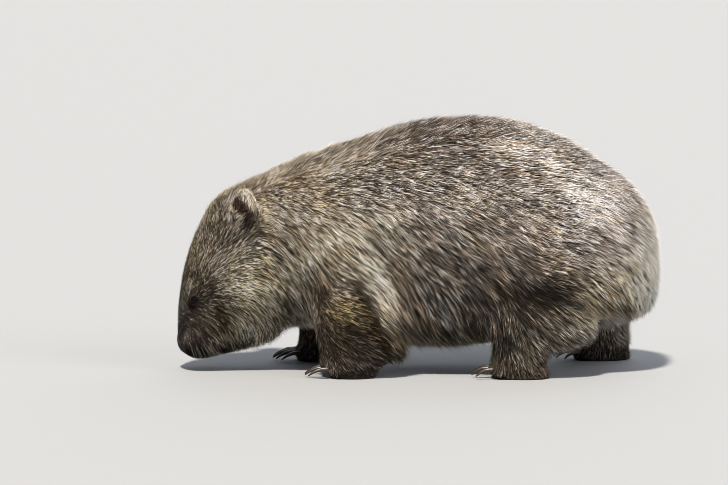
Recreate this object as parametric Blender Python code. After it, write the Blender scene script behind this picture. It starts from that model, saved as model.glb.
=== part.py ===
"""A bare-nosed wombat grazing with its head lowered: a still, life-size model.

Metres, +Z up. The animal faces -X, stands on the plane Z = 0 and has its own left side at -Y.
Every outer surface is the tips of the coat. The body is lofted and shaped as a whole, then parted
with thin cuts into head, neck, trunk, tail, legs and feet, so that the pieces meet with no overlap.
"""

import math

import bmesh
import bpy
import numpy as np
from mathutils import Matrix, Vector

# ---------------------------------------------------------------- driving sizes
LENGTH = 0.684  # nose to rump as it stands, coat included
HEIGHT = 0.360  # floor to the top of the back
WIDTH = 0.300  # across the hips

GAP = 0.0003  # left between pieces that meet
VOXEL = 0.0042  # grain of the clay that the lofts are fused in
BODY_TRIANGLES = 3200
BLEND_ROUNDS = 6  # of smoothing where a limb meets the trunk
EYE_RADIUS = 0.0085
CLAW_LENGTH_FORE = 0.030
CLAW_LENGTH_HIND = 0.024
CLAW_WIDTH = 0.0075

HEAD_PITCH = math.radians(70)  # the face points this far below the horizon
HEAD_ORIGIN = Vector((-0.240, 0.0, 0.240))  # inside the crown, where the head's own axes start
TO_NOSE = Vector((-math.cos(HEAD_PITCH), 0.0, -math.sin(HEAD_PITCH)))
TO_FOREHEAD = Vector((-math.sin(HEAD_PITCH), 0.0, math.cos(HEAD_PITCH)))
SIDEWAYS = Vector((0.0, 1.0, 0.0))
AHEAD = Vector((-1.0, 0.0, 0.0))

# Each row of a loft: x, y, z of the section's widest place, half width, reach up, reach down.
# "Up" is the side the loft's back faces: the spine, the forehead, or the front of a leg.
# A first or last row of zero sizes is a rounded end.


def trunk_row(x, widest, half_width, top, belly):
    """A section of the trunk, as shares of the animal's length, width and height."""
    z = widest * HEIGHT
    return (x * LENGTH, 0.0, z, half_width * WIDTH / 2, top * HEIGHT - z, z - belly * HEIGHT)


TRUNK = (
    # x, widest, half width, top, belly
    trunk_row(0.498, 0.41, 0.00, 0.41, 0.41),  # rump's rearmost point
    trunk_row(0.487, 0.41, 0.36, 0.580, 0.252),  # root of the tail
    trunk_row(0.447, 0.42, 0.66, 0.718, 0.210),
    trunk_row(0.374, 0.44, 0.87, 0.819, 0.182),  # rump
    trunk_row(0.283, 0.45, 0.99, 0.923, 0.156),  # hips
    trunk_row(0.183, 0.46, 1.00, 0.986, 0.126),  # loin
    trunk_row(0.080, 0.46, 0.975, 1.000, 0.097),  # top of the back
    trunk_row(-0.022, 0.46, 0.93, 0.977, 0.095),  # ribs
    trunk_row(-0.124, 0.46, 0.86, 0.915, 0.126),  # withers
    trunk_row(-0.219, 0.46, 0.74, 0.853, 0.176),  # shoulders
    trunk_row(-0.285, 0.45, 0.50, 0.720, 0.242),  # breast
    trunk_row(-0.315, 0.45, 0.00, 0.45, 0.45),
)

NECK = (
    (-0.080, 0.0, 0.180, 0.000, 0.000, 0.000),
    (-0.105, 0.0, 0.180, 0.080, 0.105, 0.090),
    (-0.145, 0.0, 0.178, 0.104, 0.132, 0.112),
    (-0.185, 0.0, 0.172, 0.101, 0.124, 0.108),
    (-0.220, 0.0, 0.165, 0.094, 0.114, 0.098),
    (-0.250, 0.0, 0.160, 0.080, 0.098, 0.080),
    (-0.272, 0.0, 0.156, 0.000, 0.000, 0.000),
)


def head_place(along, up, side=0.0):
    """A point in the head's own axes: towards the nose, towards the forehead, to its right."""
    return HEAD_ORIGIN + TO_NOSE * along + TO_FOREHEAD * up + SIDEWAYS * side


def head_row(along, widest, half_width, brow, throat):
    """A section across the head. Widest, brow and throat are heights towards the forehead."""
    return (*head_place(along, widest), half_width, brow - widest, widest - throat)


HEAD = (
    # along, widest, half width, brow, throat
    head_row(-0.036, -0.020, 0.000, -0.020, -0.020),
    head_row(-0.022, -0.022, 0.052, 0.014, -0.078),
    head_row(0.012, -0.024, 0.074, 0.045, -0.104),  # crown
    head_row(0.048, -0.028, 0.083, 0.0545, -0.115),
    head_row(0.085, -0.032, 0.087, 0.0565, -0.120),  # cheeks
    head_row(0.120, -0.034, 0.083, 0.0545, -0.118),
    head_row(0.152, -0.028, 0.072, 0.0490, -0.108),  # eyes
    head_row(0.180, -0.018, 0.060, 0.0420, -0.090),
    head_row(0.204, -0.008, 0.055, 0.0335, -0.058),  # muzzle
    head_row(0.222, -0.001, 0.050, 0.0265, -0.032),
    head_row(0.233, 0.001, 0.036, 0.0160, -0.014),
    head_row(0.238, 0.001, 0.000, 0.001, 0.001),
)

TAIL = (
    (0.290, 0.0, 0.196, 0.000, 0.000, 0.000),
    (0.306, 0.0, 0.190, 0.020, 0.018, 0.018),
    (0.320, 0.0, 0.178, 0.019, 0.017, 0.017),
    (0.329, 0.0, 0.163, 0.015, 0.013, 0.012),
    (0.333, 0.0, 0.148, 0.010, 0.008, 0.008),
    (0.333, 0.0, 0.139, 0.000, 0.000, 0.000),
)


def limb(*joints):
    """Rows of a leg from joints given as ((x, y, z), half width, reach forward, reach back)."""
    rows = [(*place, width, front, back) for place, width, front, back in joints]
    first, last = joints[0][0], joints[-1][0]
    start = Vector(first) + (Vector(first) - Vector(joints[1][0])).normalized() * joints[0][1] * 0.6
    end = Vector(last) + (Vector(last) - Vector(joints[-2][0])).normalized() * joints[-1][1] * 0.45
    return ((*start, 0, 0, 0), *rows, (*end, 0, 0, 0))


# The left foreleg is folded low under the shoulder, its elbow drawn back.
FORELEG_LEFT = limb(
    ((-0.086, -0.078, 0.170), 0.044, 0.060, 0.058),  # shoulder
    ((-0.090, -0.094, 0.115), 0.050, 0.064, 0.066),  # upper arm
    ((-0.090, -0.102, 0.076), 0.046, 0.061, 0.074),
    ((-0.093, -0.104, 0.048), 0.040, 0.055, 0.077),  # elbow
    ((-0.096, -0.104, 0.028), 0.036, 0.045, 0.064),  # forearm
    ((-0.096, -0.103, 0.012), 0.033, 0.040, 0.042),
)
# The right one reaches further forward.
FORELEG_RIGHT = limb(
    ((-0.104, 0.078, 0.170), 0.044, 0.056, 0.056),
    ((-0.117, 0.092, 0.115), 0.047, 0.052, 0.058),
    ((-0.129, 0.098, 0.075), 0.041, 0.043, 0.050),
    ((-0.135, 0.099, 0.042), 0.034, 0.038, 0.040),
    ((-0.134, 0.098, 0.016), 0.031, 0.033, 0.037),
)
HINDLEG_LEFT = limb(
    ((0.165, -0.092, 0.180), 0.050, 0.070, 0.080),  # hip
    ((0.162, -0.106, 0.125), 0.051, 0.068, 0.086),  # thigh
    ((0.152, -0.112, 0.086), 0.046, 0.056, 0.096),  # its fold behind the knee
    ((0.146, -0.113, 0.061), 0.040, 0.048, 0.080),
    ((0.142, -0.113, 0.038), 0.035, 0.043, 0.040),  # shank
    ((0.142, -0.112, 0.016), 0.032, 0.040, 0.034),
)
HINDLEG_RIGHT = limb(
    ((0.215, 0.090, 0.180), 0.050, 0.074, 0.074),
    ((0.232, 0.105, 0.125), 0.050, 0.070, 0.070),
    ((0.250, 0.110, 0.080), 0.043, 0.053, 0.053),
    ((0.261, 0.110, 0.045), 0.035, 0.039, 0.040),
    ((0.264, 0.109, 0.016), 0.031, 0.036, 0.036),
)

# Feet: where the sole's middle is, which way it points, its length and width, toes and claws.
FEET = {
    "forepaw_left": dict(sole=(-0.093, -0.104), turn=6, length=0.070, width=0.064, toes=5),
    "forepaw_right": dict(sole=(-0.140, 0.100), turn=-8, length=0.070, width=0.064, toes=5),
    "hindfoot_left": dict(sole=(0.142, -0.113), turn=8, length=0.088, width=0.060, toes=4),
    "hindfoot_right": dict(sole=(0.262, 0.110), turn=-8, length=0.088, width=0.060, toes=4),
}
FOOT_HEIGHT = 0.030
SOLE_DEPTH = 0.008  # the middle of a foot's pad is this far above the floor
TOE_RADIUS = 0.0095
TOE_LENGTH = 0.015
TOE_MIDDLE = 0.013  # height of a toe's middle
CLAW_SETS_OUT = 0.011  # ahead of the toe's root
# A claw's arch from its root: share of its length, rise of its middle, share of its width.
CLAW_ARCH = ((-0.30, -0.0015, 1.0), (0.05, 0.0008, 1.0), (0.40, 0.0006, 0.86),
             (0.72, -0.0030, 0.62), (0.95, -0.0080, 0.32))
CLAW_DROP = 0.0092  # from the middle of its root to its point

# Each leg with the foot it stands on, and the centre and radii of the rounded cell that parts it,
# with the muscle over it, from the trunk.
LEGS = {
    "foreleg_left": ("forepaw_left", (-0.094, -0.128, 0.060), (0.104, 0.078, 0.148)),
    "foreleg_right": ("forepaw_right", (-0.132, 0.126, 0.060), (0.098, 0.078, 0.140)),
    "hindleg_left": ("hindfoot_left", (0.152, -0.134, 0.070), (0.110, 0.082, 0.150)),
    "hindleg_right": ("hindfoot_right", (0.250, 0.131, 0.068), (0.100, 0.080, 0.140)),
}
TAIL_CELL = ((0.340, 0.0, 0.166), (0.022, 0.030, 0.038))  # centre, radii
# Planes that part the head from the neck and the neck from the trunk: a point, the way forward.
HEAD_CUT = ((-0.226, 0.0, 0.286), (-0.976, 0.0, -0.217))
NECK_CUT = ((-0.150, 0.0, 0.310), (-0.976, 0.0, -0.100))

# The left ear; the right one is its mirror image, laid lower. Its outline is share of length, half
# width and half thickness, from inside the head to the tip.
EAR_ROOT = Vector((-0.240, -0.066, 0.200))
EAR_TIP = Vector((-0.243, -0.090, 0.262))
EAR_HOLLOW_FACES = Vector((-0.34, -0.94, -0.10))
RIGHT_EAR_LOWER = Vector((0.006, 0.0, -0.009))
EAR_OUTLINE = ((-0.14, 0.0000, 0.0000), (-0.10, 0.0140, 0.0040), (0.16, 0.0205, 0.0042),
               (0.45, 0.0235, 0.0038), (0.72, 0.0210, 0.0032), (0.93, 0.0125, 0.0026),
               (1.00, 0.0000, 0.0000))
EAR_CUP = 0.5

# In the head's own axes, as head_place takes them: towards the nose, towards the forehead, aside.
EYE_PLACE = (0.1530, 0.0205, 0.0500)
EYE_LOOKS = (0.28, 0.58, 0.75)
LIDS_REACH = 0.011  # from the eye's middle to the middle of the hollow between its lids
LIDS_RADII = (0.011, 0.0100, 0.0086)
NOSE_PLACE = (0.232, 0.026)
NOSE_RADII = (0.026, 0.026, 0.020)

COAT = (0.31, 0.26, 0.20)
DARK_COAT = (0.20, 0.16, 0.12)
NOSE_SKIN = (0.06, 0.05, 0.05)
HORN = (0.13, 0.10, 0.08)
EYE_BLACK = (0.02, 0.013, 0.01)


# ---------------------------------------------------------------- shape helpers
def clear_scene():
    for old in list(bpy.data.objects):
        bpy.data.objects.remove(old, do_unlink=True)


def through(rows, steps):
    """A smooth curve through the rows (Catmull-Rom), with rounded ends reflected past a pole."""
    rows = np.asarray(rows, float)

    def beyond(pole, inner):
        ghost = inner.copy()
        ghost[3] = -inner[3]
        ghost[4], ghost[5] = -inner[5], -inner[4]
        return ghost if pole[3] == 0 else 2 * pole - inner

    rows = np.vstack([beyond(rows[0], rows[1]), rows, beyond(rows[-1], rows[-2])])
    t = np.linspace(0, 1, steps, endpoint=False)[:, None]
    spans = []
    for before, start, end, after in zip(rows, rows[1:], rows[2:], rows[3:]):
        spans.append(
            0.5 * (2 * start + (end - before) * t
                   + (2 * before - 5 * start + 4 * end - after) * t**2
                   + (3 * start - before - 3 * end + after) * t**3)
        )
    return np.vstack([*spans, rows[-2]])


def loft_mesh(rows, sides=40, steps=6, power=2.2, cup=0.0, lean=SIDEWAYS, along=None):
    """A closed skin over sections along a path: superellipses of the given power.

    Each section stands across the path, or across the direction `along` where one is given, with
    `lean` as its sideways direction. Cup bends the section's edges upwards, as an ear's are, by
    that share of its half width.
    """
    curve = through(rows, steps)
    centres, widths, ups, downs = curve[:, :3], curve[:, 3], curve[:, 4], curve[:, 5]
    tangents = np.gradient(centres, axis=0) if along is None else np.tile(along, (len(centres), 1))
    tangents /= np.linalg.norm(tangents, axis=1)[:, None]
    side = np.array(lean, float)
    side = side - tangents * (tangents @ side)[:, None]
    side /= np.linalg.norm(side, axis=1)[:, None]
    upward = np.cross(tangents, side)
    angle = np.linspace(0, 2 * np.pi, sides, endpoint=False)
    across = np.sign(np.cos(angle)) * np.abs(np.cos(angle)) ** (2 / power)
    along_up = np.sign(np.sin(angle)) * np.abs(np.sin(angle)) ** (2 / power)
    reach = np.where(along_up[None] > 0, ups[:, None], downs[:, None]) * along_up[None]
    reach = reach + cup * np.abs(widths[:, None]) * across[None] ** 2
    points = (centres[:, None] + side[:, None] * (widths[:, None] * across[None])[..., None]
              + upward[:, None] * reach[..., None])

    mesh = bmesh.new()
    poles = [mesh.verts.new(points[i].mean(axis=0)) for i in (0, -1)]
    rings = [[mesh.verts.new(p) for p in ring] for ring in points[1:-1]]
    for ring, following in zip(rings, rings[1:]):
        for i in range(sides):
            j = (i + 1) % sides
            mesh.faces.new((ring[i], ring[j], following[j], following[i]))
    for pole, ring in zip(poles, (rings[0], rings[-1])):
        for i in range(sides):
            mesh.faces.new((pole, ring[i], ring[(i + 1) % sides]))
    bmesh.ops.recalc_face_normals(mesh, faces=mesh.faces)
    return mesh


def ball_mesh(centre, radii, turn=None, segments=14, rings=9):
    """An ellipsoid, turned by a rotation matrix before it is placed."""
    mesh = bmesh.new()
    place = Matrix.Translation(centre) @ (turn or Matrix.Identity(4)) @ Matrix.Diagonal((*radii, 1))
    bmesh.ops.create_uvsphere(mesh, u_segments=segments, v_segments=rings, radius=1, matrix=place)
    bmesh.ops.recalc_face_normals(mesh, faces=mesh.faces)
    return mesh


def block_mesh(low, high):
    """A box between two corners."""
    low, high = Vector(low), Vector(high)
    mesh = bmesh.new()
    size = Matrix.Diagonal((*(high - low), 1))
    bmesh.ops.create_cube(mesh, size=1, matrix=Matrix.Translation((low + high) / 2) @ size)
    return mesh


def add(name, mesh):
    """Puts a bmesh into the scene as an object."""
    data = bpy.data.meshes.new(name)
    mesh.to_mesh(data)
    mesh.free()
    made = bpy.data.objects.new(name, data)
    bpy.context.scene.collection.objects.link(made)
    return made


def join(name, meshes):
    """Several bmeshes as one object, still separate shells."""
    whole = bmesh.new()
    for mesh in meshes:
        part = bpy.data.meshes.new("part")
        mesh.to_mesh(part)
        mesh.free()
        whole.from_mesh(part)
        bpy.data.meshes.remove(part)
    return add(name, whole)


def settle(made):
    """Makes an object's modifiers part of its mesh."""
    graph = bpy.context.evaluated_depsgraph_get()
    graph.update()
    data = bpy.data.meshes.new_from_object(made.evaluated_get(graph))
    made.modifiers.clear()
    old, made.data = made.data, data
    data.name = made.name
    bpy.data.meshes.remove(old)
    return made


def combine(made, tool, operation):
    """A Boolean of two objects. The tool is kept, hidden from the render."""
    tool.hide_render = True
    tool.display_type = "WIRE"
    cut = made.modifiers.new(operation.lower(), "BOOLEAN")
    cut.operation = operation
    cut.object = tool
    cut.solver = "EXACT"
    cut.use_self = True
    return settle(made)


def copy_of(made, name, grow=0.0):
    """A copy, each vertex moved outwards by grow."""
    twin = made.copy()
    twin.data = made.data.copy()
    twin.name = twin.data.name = name
    twin.hide_render = False
    bpy.context.scene.collection.objects.link(twin)
    if grow:
        shape = bmesh.new()
        shape.from_mesh(twin.data)
        shape.normal_update()
        for vertex in shape.verts:
            vertex.co += vertex.normal * grow * vertex.calc_shell_factor()
        shape.to_mesh(twin.data)
        shape.free()
    return twin


def discard(*objects):
    for made in objects:
        bpy.data.objects.remove(made, do_unlink=True)


def part_off(body, cell, name):
    """Cuts what lies inside the cell off the body, with a thin gap between, as a new object."""
    piece = combine(copy_of(body, name), cell, "INTERSECT")
    wider = copy_of(cell, "wider", GAP)
    combine(body, wider, "DIFFERENCE")
    discard(cell, wider)
    return piece


def keep_largest(made):
    """Drops any crumb that a cut left beside the main shell."""
    shape = bmesh.new()
    shape.from_mesh(made.data)
    unseen, shells = set(shape.verts), []
    while unseen:
        shell, edge = set(), [unseen.pop()]
        while edge:
            vertex = edge.pop()
            shell.add(vertex)
            for link in vertex.link_edges:
                other = link.other_vert(vertex)
                if other in unseen:
                    unseen.discard(other)
                    edge.append(other)
        shells.append(shell)
    shells.sort(key=len)
    crumbs = [vertex for shell in shells[:-1] for vertex in shell]
    bmesh.ops.delete(shape, geom=crumbs, context="VERTS")
    shape.to_mesh(made.data)
    shape.free()
    return made


# ---------------------------------------------------------------- feet
def foot_turn(foot):
    """The foot's own forward and outward directions on the floor."""
    angle = math.radians(foot["turn"])
    return Vector((-math.cos(angle), math.sin(angle), 0)), Vector((math.sin(angle), math.cos(angle), 0))


def toe_places(foot):
    """The root of each toe, from the outermost to the innermost, and the way it points."""
    forward, outward = foot_turn(foot)
    middle = Vector((*foot["sole"], 0))
    for i in range(foot["toes"]):
        spread = 2 * i / (foot["toes"] - 1) - 1
        reach = foot["length"] * (0.40 - 0.10 * spread**2)
        root = middle + forward * reach + outward * spread * foot["width"] * 0.37
        yield root + Vector((0, 0, TOE_MIDDLE)), (forward + outward * spread * 0.22).normalized()


def foot_meshes(foot):
    """A broad pad and its toes, their undersides below the floor, where they are cut flat."""
    forward, outward = foot_turn(foot)
    turn = Matrix((forward, outward, Vector((0, 0, 1)))).transposed().to_4x4()
    middle = Vector((*foot["sole"], SOLE_DEPTH))
    pad = (foot["length"] * 0.50, foot["width"] * 0.50, FOOT_HEIGHT)
    meshes = [ball_mesh(middle, pad, turn)]
    for root, way in toe_places(foot):
        meshes.append(ball_mesh(root - way * 0.002, (TOE_LENGTH, TOE_LENGTH, TOE_RADIUS), None, 12, 8))
    return meshes


def claw_mesh(root, way, length):
    """A long claw, deepest at its root, arching over and down to a blunt point."""
    rows = [(*(root + way * length * share + Vector((0, 0, rise))),
             CLAW_WIDTH / 2 * size, CLAW_WIDTH * 0.52 * size, CLAW_WIDTH * 0.46 * size)
            for share, rise, size in CLAW_ARCH]
    start = (*(root - way * length * 0.36 - Vector((0, 0, 0.002))), 0, 0, 0)
    tip = (*(root + way * length - Vector((0, 0, CLAW_DROP))), 0, 0, 0)
    lean = Vector((0, 0, 1)).cross(way)
    return loft_mesh((start, *rows, tip), sides=6, steps=1, power=2.0, lean=lean)


# ---------------------------------------------------------------- the body, whole
def body():
    """Trunk, neck, head, tail, legs and feet fused into one smooth closed skin."""
    shapes = [loft_mesh(TRUNK, lean=-SIDEWAYS, along=AHEAD), loft_mesh(NECK, lean=-SIDEWAYS, along=AHEAD),
              loft_mesh(HEAD, lean=-SIDEWAYS, power=2.15, along=TO_NOSE), loft_mesh(TAIL, sides=20)]
    for leg in (FORELEG_LEFT, FORELEG_RIGHT, HINDLEG_LEFT, HINDLEG_RIGHT):
        shapes.append(loft_mesh(leg, lean=-SIDEWAYS, power=2.0))
    for foot in FEET.values():
        shapes.extend(foot_meshes(foot))
    whole = join("body", shapes)
    fuse = whole.modifiers.new("fuse", "REMESH")
    fuse.mode = "VOXEL"
    fuse.voxel_size = VOXEL
    blend = whole.modifiers.new("blend", "SMOOTH")
    blend.factor = 0.5
    blend.iterations = BLEND_ROUNDS
    settle(whole)
    lighter = whole.modifiers.new("lighter", "DECIMATE")
    lighter.ratio = BODY_TRIANGLES / (2 * len(whole.data.polygons))
    settle(whole)
    floor = add("floor", block_mesh((-1, -1, -1), (1, 1, 0)))
    combine(whole, floor, "DIFFERENCE")
    discard(floor)
    return whole


def ear(side, name):
    """A short scooped ear, rooted behind the crown, whose hollow faces out; side is -1 for the left."""
    mirrored = Vector((1, -side, 1))
    root, tip, hollow_faces = (place * mirrored for place in (EAR_ROOT, EAR_TIP, EAR_HOLLOW_FACES))
    if side > 0:
        root, tip = root + RIGHT_EAR_LOWER, tip + RIGHT_EAR_LOWER
    lengthwise = (tip - root).normalized()
    rows = [(*(root + (tip - root) * share), wide, thick, thick) for share, wide, thick in EAR_OUTLINE]
    lean = hollow_faces.cross(lengthwise)
    shape = loft_mesh(rows, sides=14, steps=2, power=2.0, cup=EAR_CUP, lean=lean, along=lengthwise)
    return add(name, shape)


def plane_cell(corner, normal, name):
    """A half space as a large block: all that lies beyond the corner in the normal's direction."""
    block = block_mesh((-0.6, -0.6, 0), (0.6, 0.6, 0.6))
    turn = Vector(normal).normalized().to_track_quat("Z", "Y").to_matrix().to_4x4()
    bmesh.ops.transform(block, matrix=Matrix.Translation(corner) @ turn, verts=block.verts)
    return add(name, block)


def leg_cell(centre, radii, foot):
    """A rounded cell around a leg and the muscle over it, with a block that holds its foot."""
    cell = add("cell", ball_mesh(Vector(centre), radii, None, 18, 11))
    x, y = foot["sole"]
    inner, outer = y * 0.59, y * 2
    low = (x - foot["length"] * 0.8, min(inner, outer), -FOOT_HEIGHT)
    high = (x + foot["length"] * 0.7, max(inner, outer), FOOT_HEIGHT * 1.08)
    block = add("block", block_mesh(low, high))
    combine(cell, block, "UNION")
    discard(block)
    return cell


def paint(made, colour, roughness):
    material = bpy.data.materials.new(made.name)
    material.use_nodes = True
    surface = material.node_tree.nodes["Principled BSDF"]
    surface.inputs["Base Color"].default_value = (*colour, 1)
    surface.inputs["Roughness"].default_value = roughness
    made.data.materials.clear()
    made.data.materials.append(material)
    made.data.shade_smooth()
    made.data.set_sharp_from_angle(angle=math.radians(40))


def trim_to(made, host):
    """Cuts off the part of a piece that would lie inside its host, with a thin gap between."""
    wider = copy_of(host, "wider", GAP)
    combine(made, wider, "DIFFERENCE")
    discard(wider)


def eyes_and_sockets(head):
    """Round eyes set in the sides of the head, each in a socket a little wider than itself."""
    along, up, aside = EYE_PLACE
    for side, word in ((-1, "left"), (1, "right")):
        centre = head_place(along, up, side * aside)
        outward = TO_NOSE * EYE_LOOKS[0] + TO_FOREHEAD * EYE_LOOKS[1] + SIDEWAYS * side * EYE_LOOKS[2]
        outward.normalize()
        turn = outward.to_track_quat("X", "Z").to_matrix().to_4x4()
        eye = add(f"eye_{word}", ball_mesh(centre, (EYE_RADIUS,) * 3))
        socket = add("socket", ball_mesh(centre, (EYE_RADIUS + GAP,) * 3))
        lids = add("lids", ball_mesh(centre + outward * LIDS_REACH, LIDS_RADII, turn, 12, 8))
        for hollow in (socket, lids):
            combine(head, hollow, "DIFFERENCE")
            discard(hollow)
        paint(eye, EYE_BLACK, 0.1)


def claws(feet):
    """A curved claw on each toe, its root against the toe."""
    for name, foot in FEET.items():
        length = CLAW_LENGTH_FORE if name.startswith("fore") else CLAW_LENGTH_HIND
        word = name.replace("forepaw", "fore").replace("hindfoot", "hind")
        for number, (root, way) in enumerate(toe_places(foot), start=1):
            claw = add(f"claw_{word}_{number}", claw_mesh(root + way * CLAW_SETS_OUT, way, length))
            trim_to(claw, feet[name])
            keep_largest(claw)
            paint(claw, HORN, 0.35)


def stand_centred():
    """Moves every piece so that the box round them all is centred over the origin."""
    shown = [made for made in bpy.data.objects if made.type == "MESH" and not made.hide_render]
    places = np.array([vertex.co for made in shown for vertex in made.data.vertices])
    middle = (places.min(axis=0) + places.max(axis=0)) / 2
    for made in shown:
        made.data.transform(Matrix.Translation((-middle[0], -middle[1], 0)))


def main():
    clear_scene()
    whole = body()

    pieces, feet = {}, {}
    for name, (foot, centre, radii) in LEGS.items():
        pieces[name] = part_off(whole, leg_cell(centre, radii, FEET[foot]), name)
        below = plane_cell((0, 0, FOOT_HEIGHT), (0, 0, -1), "cell")
        feet[foot] = part_off(pieces[name], below, foot)
    pieces.update(feet)
    pieces["tail"] = part_off(whole, add("cell", ball_mesh(Vector(TAIL_CELL[0]), TAIL_CELL[1])), "tail")
    pieces["head"] = part_off(whole, plane_cell(*HEAD_CUT, "cell"), "head")
    pieces["neck"] = part_off(whole, plane_cell(*NECK_CUT, "cell"), "neck")
    whole.name = "trunk"
    pieces["trunk"] = whole

    for side, word in ((-1, "left"), (1, "right")):
        pieces[f"ear_{word}"] = ear(side, f"ear_{word}")
        for host in ("head", "neck"):
            trim_to(pieces[f"ear_{word}"], pieces[host])

    nose_cell = add("cell", ball_mesh(head_place(*NOSE_PLACE), NOSE_RADII))
    pieces["nose"] = part_off(pieces["head"], nose_cell, "nose")
    eyes_and_sockets(pieces["head"])
    claws(feet)

    for name, piece in pieces.items():
        keep_largest(piece)
        paint(piece, NOSE_SKIN if name == "nose" else DARK_COAT if name in feet else COAT, 0.85)
    stand_centred()


main()
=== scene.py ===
# %% [markdown]
# # A grazing wombat, life size
#
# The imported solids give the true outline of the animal, out to the tips of its coat. This script
# gives them their looks: one skin that lies inside the solids by the depth of the coat, hundreds
# of thousands of locks of fur rooted in it, and eyes, lids, nose, whiskers and claws as pieces of
# their own. Everything is in metres, facing -X, with the animal's left side at -Y.

# %% Load the frame
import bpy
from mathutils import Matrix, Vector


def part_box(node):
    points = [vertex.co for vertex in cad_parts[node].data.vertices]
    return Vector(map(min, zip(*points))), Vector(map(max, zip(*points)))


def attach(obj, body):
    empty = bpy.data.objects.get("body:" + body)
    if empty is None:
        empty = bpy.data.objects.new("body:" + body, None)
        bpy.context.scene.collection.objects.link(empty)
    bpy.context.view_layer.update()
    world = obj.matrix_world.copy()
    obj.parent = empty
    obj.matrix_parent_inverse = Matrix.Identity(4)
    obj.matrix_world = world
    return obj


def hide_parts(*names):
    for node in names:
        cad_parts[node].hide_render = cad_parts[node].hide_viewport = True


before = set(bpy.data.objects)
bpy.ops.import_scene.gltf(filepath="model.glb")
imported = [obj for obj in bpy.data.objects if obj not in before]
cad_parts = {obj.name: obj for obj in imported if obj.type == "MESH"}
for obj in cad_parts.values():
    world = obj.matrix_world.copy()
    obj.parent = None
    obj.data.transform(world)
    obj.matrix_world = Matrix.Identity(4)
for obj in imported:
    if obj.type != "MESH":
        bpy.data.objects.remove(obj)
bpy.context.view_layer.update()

import math

import bpy
import numpy as np

# %% [markdown]
# ## Landmarks
#
# The head hangs steeply, so whatever belongs to it is placed in the head's own axes: towards the
# nose, towards the forehead and to its right, counted from the point between the eyes. The eyes
# and the feet are read from the frame, so that all else follows them.

# %% Landmarks
MM = 0.001


def box_of(node):
    """The low and the high corner of a CAD node's box."""
    return np.stack([np.array(corner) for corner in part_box(node)])


def middle_of(node):
    """The middle of a CAD node's box."""
    return box_of(node).mean(axis=0)


EYES = {word: middle_of(f"eye_{word}") for word in ("left", "right")}
BETWEEN_EYES = (EYES["left"] + EYES["right"]) / 2
MID_Y = BETWEEN_EYES[1]
SIDES = (("left", -1), ("right", 1))
EYE_SHIFT = (-3.2, -1.5, -1.0)  # millimetres from the solid's middle to the ball's: back, out, up
EYEBALLS = {word: EYES[word] + np.array(EYE_SHIFT) * (1, side, 1) * MM for word, side in SIDES}
HEAD_PITCH = math.radians(70)  # the face points this far below the horizon
TO_NOSE = np.array((-math.cos(HEAD_PITCH), 0.0, -math.sin(HEAD_PITCH)))
TO_FOREHEAD = np.array((-math.sin(HEAD_PITCH), 0.0, math.cos(HEAD_PITCH)))
TO_RIGHT = np.array((0.0, 1.0, 0.0))
HEAD_AXES = np.stack((TO_NOSE, TO_FOREHEAD, TO_RIGHT))
FORELEGS, HINDLEGS = ("foreleg_left", "foreleg_right"), ("hindleg_left", "hindleg_right")
FEET = ("forepaw_left", "forepaw_right", "hindfoot_left", "hindfoot_right")
EARS = ("ear_left", "ear_right")
BEHIND_TOES = 44 * MM  # from the front of a foot
FLESH = ("trunk", "neck", "head", "nose", "tail", *FORELEGS, *HINDLEGS, *FEET, *EARS)


def in_head(points):
    """Points in the head's own axes: towards the nose, towards the forehead, to the right."""
    return (points - BETWEEN_EYES) @ HEAD_AXES.T


def foot_origin(node):
    """The place on the floor that a leg's guides and markings are counted from."""
    return np.array((box_of(node)[0, 0] + BEHIND_TOES, middle_of(node)[1], 0.0))


def from_head(along, up, aside):
    """The place of a point given in the head's own axes."""
    return BETWEEN_EYES + np.stack(np.broadcast_arrays(along, up, aside), axis=-1) @ HEAD_AXES


print("between the eyes", BETWEEN_EYES.round(4), "mid-plane y", round(MID_Y, 4))

# %% [markdown]
# ## Tools for whole arrays
#
# A surface is a table of points and a table of faces. These few functions work out what the later
# cells ask of a surface: its normals, which point of another surface is nearest, and a value evened
# out between neighbours. Blender's own tools could do some of this, but arrays do it for a hundred
# thousand points at once and give the same numbers every time.

# %% Tools for whole arrays
def unit(vectors):
    """Each vector divided by its own length."""
    return vectors / np.maximum(np.linalg.norm(vectors, axis=-1, keepdims=True), 1e-12)


def dots(one, other):
    """The dot product of each row of one table with the same row of the other, as a column."""
    return (one * other).sum(axis=-1, keepdims=True)


def tally(index, values, count):
    """The sum of the rows of values that share an index, as a table of count rows."""
    return np.stack([np.bincount(index, column, count) for column in values.T], axis=1)


def smoothstep(low, high, values):
    """0 below low, 1 above high, and 3t^2 - 2t^3 between."""
    t = np.clip((values - low) / (high - low), 0, 1)
    return t * t * (3 - 2 * t)


def triangles_of(faces):
    """Quads split along a diagonal, or triangles as they are."""
    return faces if faces.shape[1] == 3 else faces[:, (0, 1, 2, 0, 2, 3)].reshape(-1, 3)


def normals_of(points, faces):
    """Each point's normal: the sum of its triangles' cross products, so that large ones count
    more."""
    corners = triangles_of(faces)
    a, b, c = (points[corners[:, i]] for i in range(3))
    across = np.repeat(np.cross(b - a, c - a), 3, axis=0)
    return unit(tally(corners.ravel(), across, len(points)))


def nearest(points, targets, block=4096):
    """The index of the target nearest to each point: the least |t|^2 - 2 p.t, block by block."""
    origin = targets.mean(axis=0)
    t, p = (targets - origin).astype(np.float32), (points - origin).astype(np.float32)
    length = (t**2).sum(axis=1)
    blocks = np.array_split(p, len(p) // block + 1)
    return np.concatenate([np.argmin(length - 2 * part @ t.T, axis=1) for part in blocks])


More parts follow.
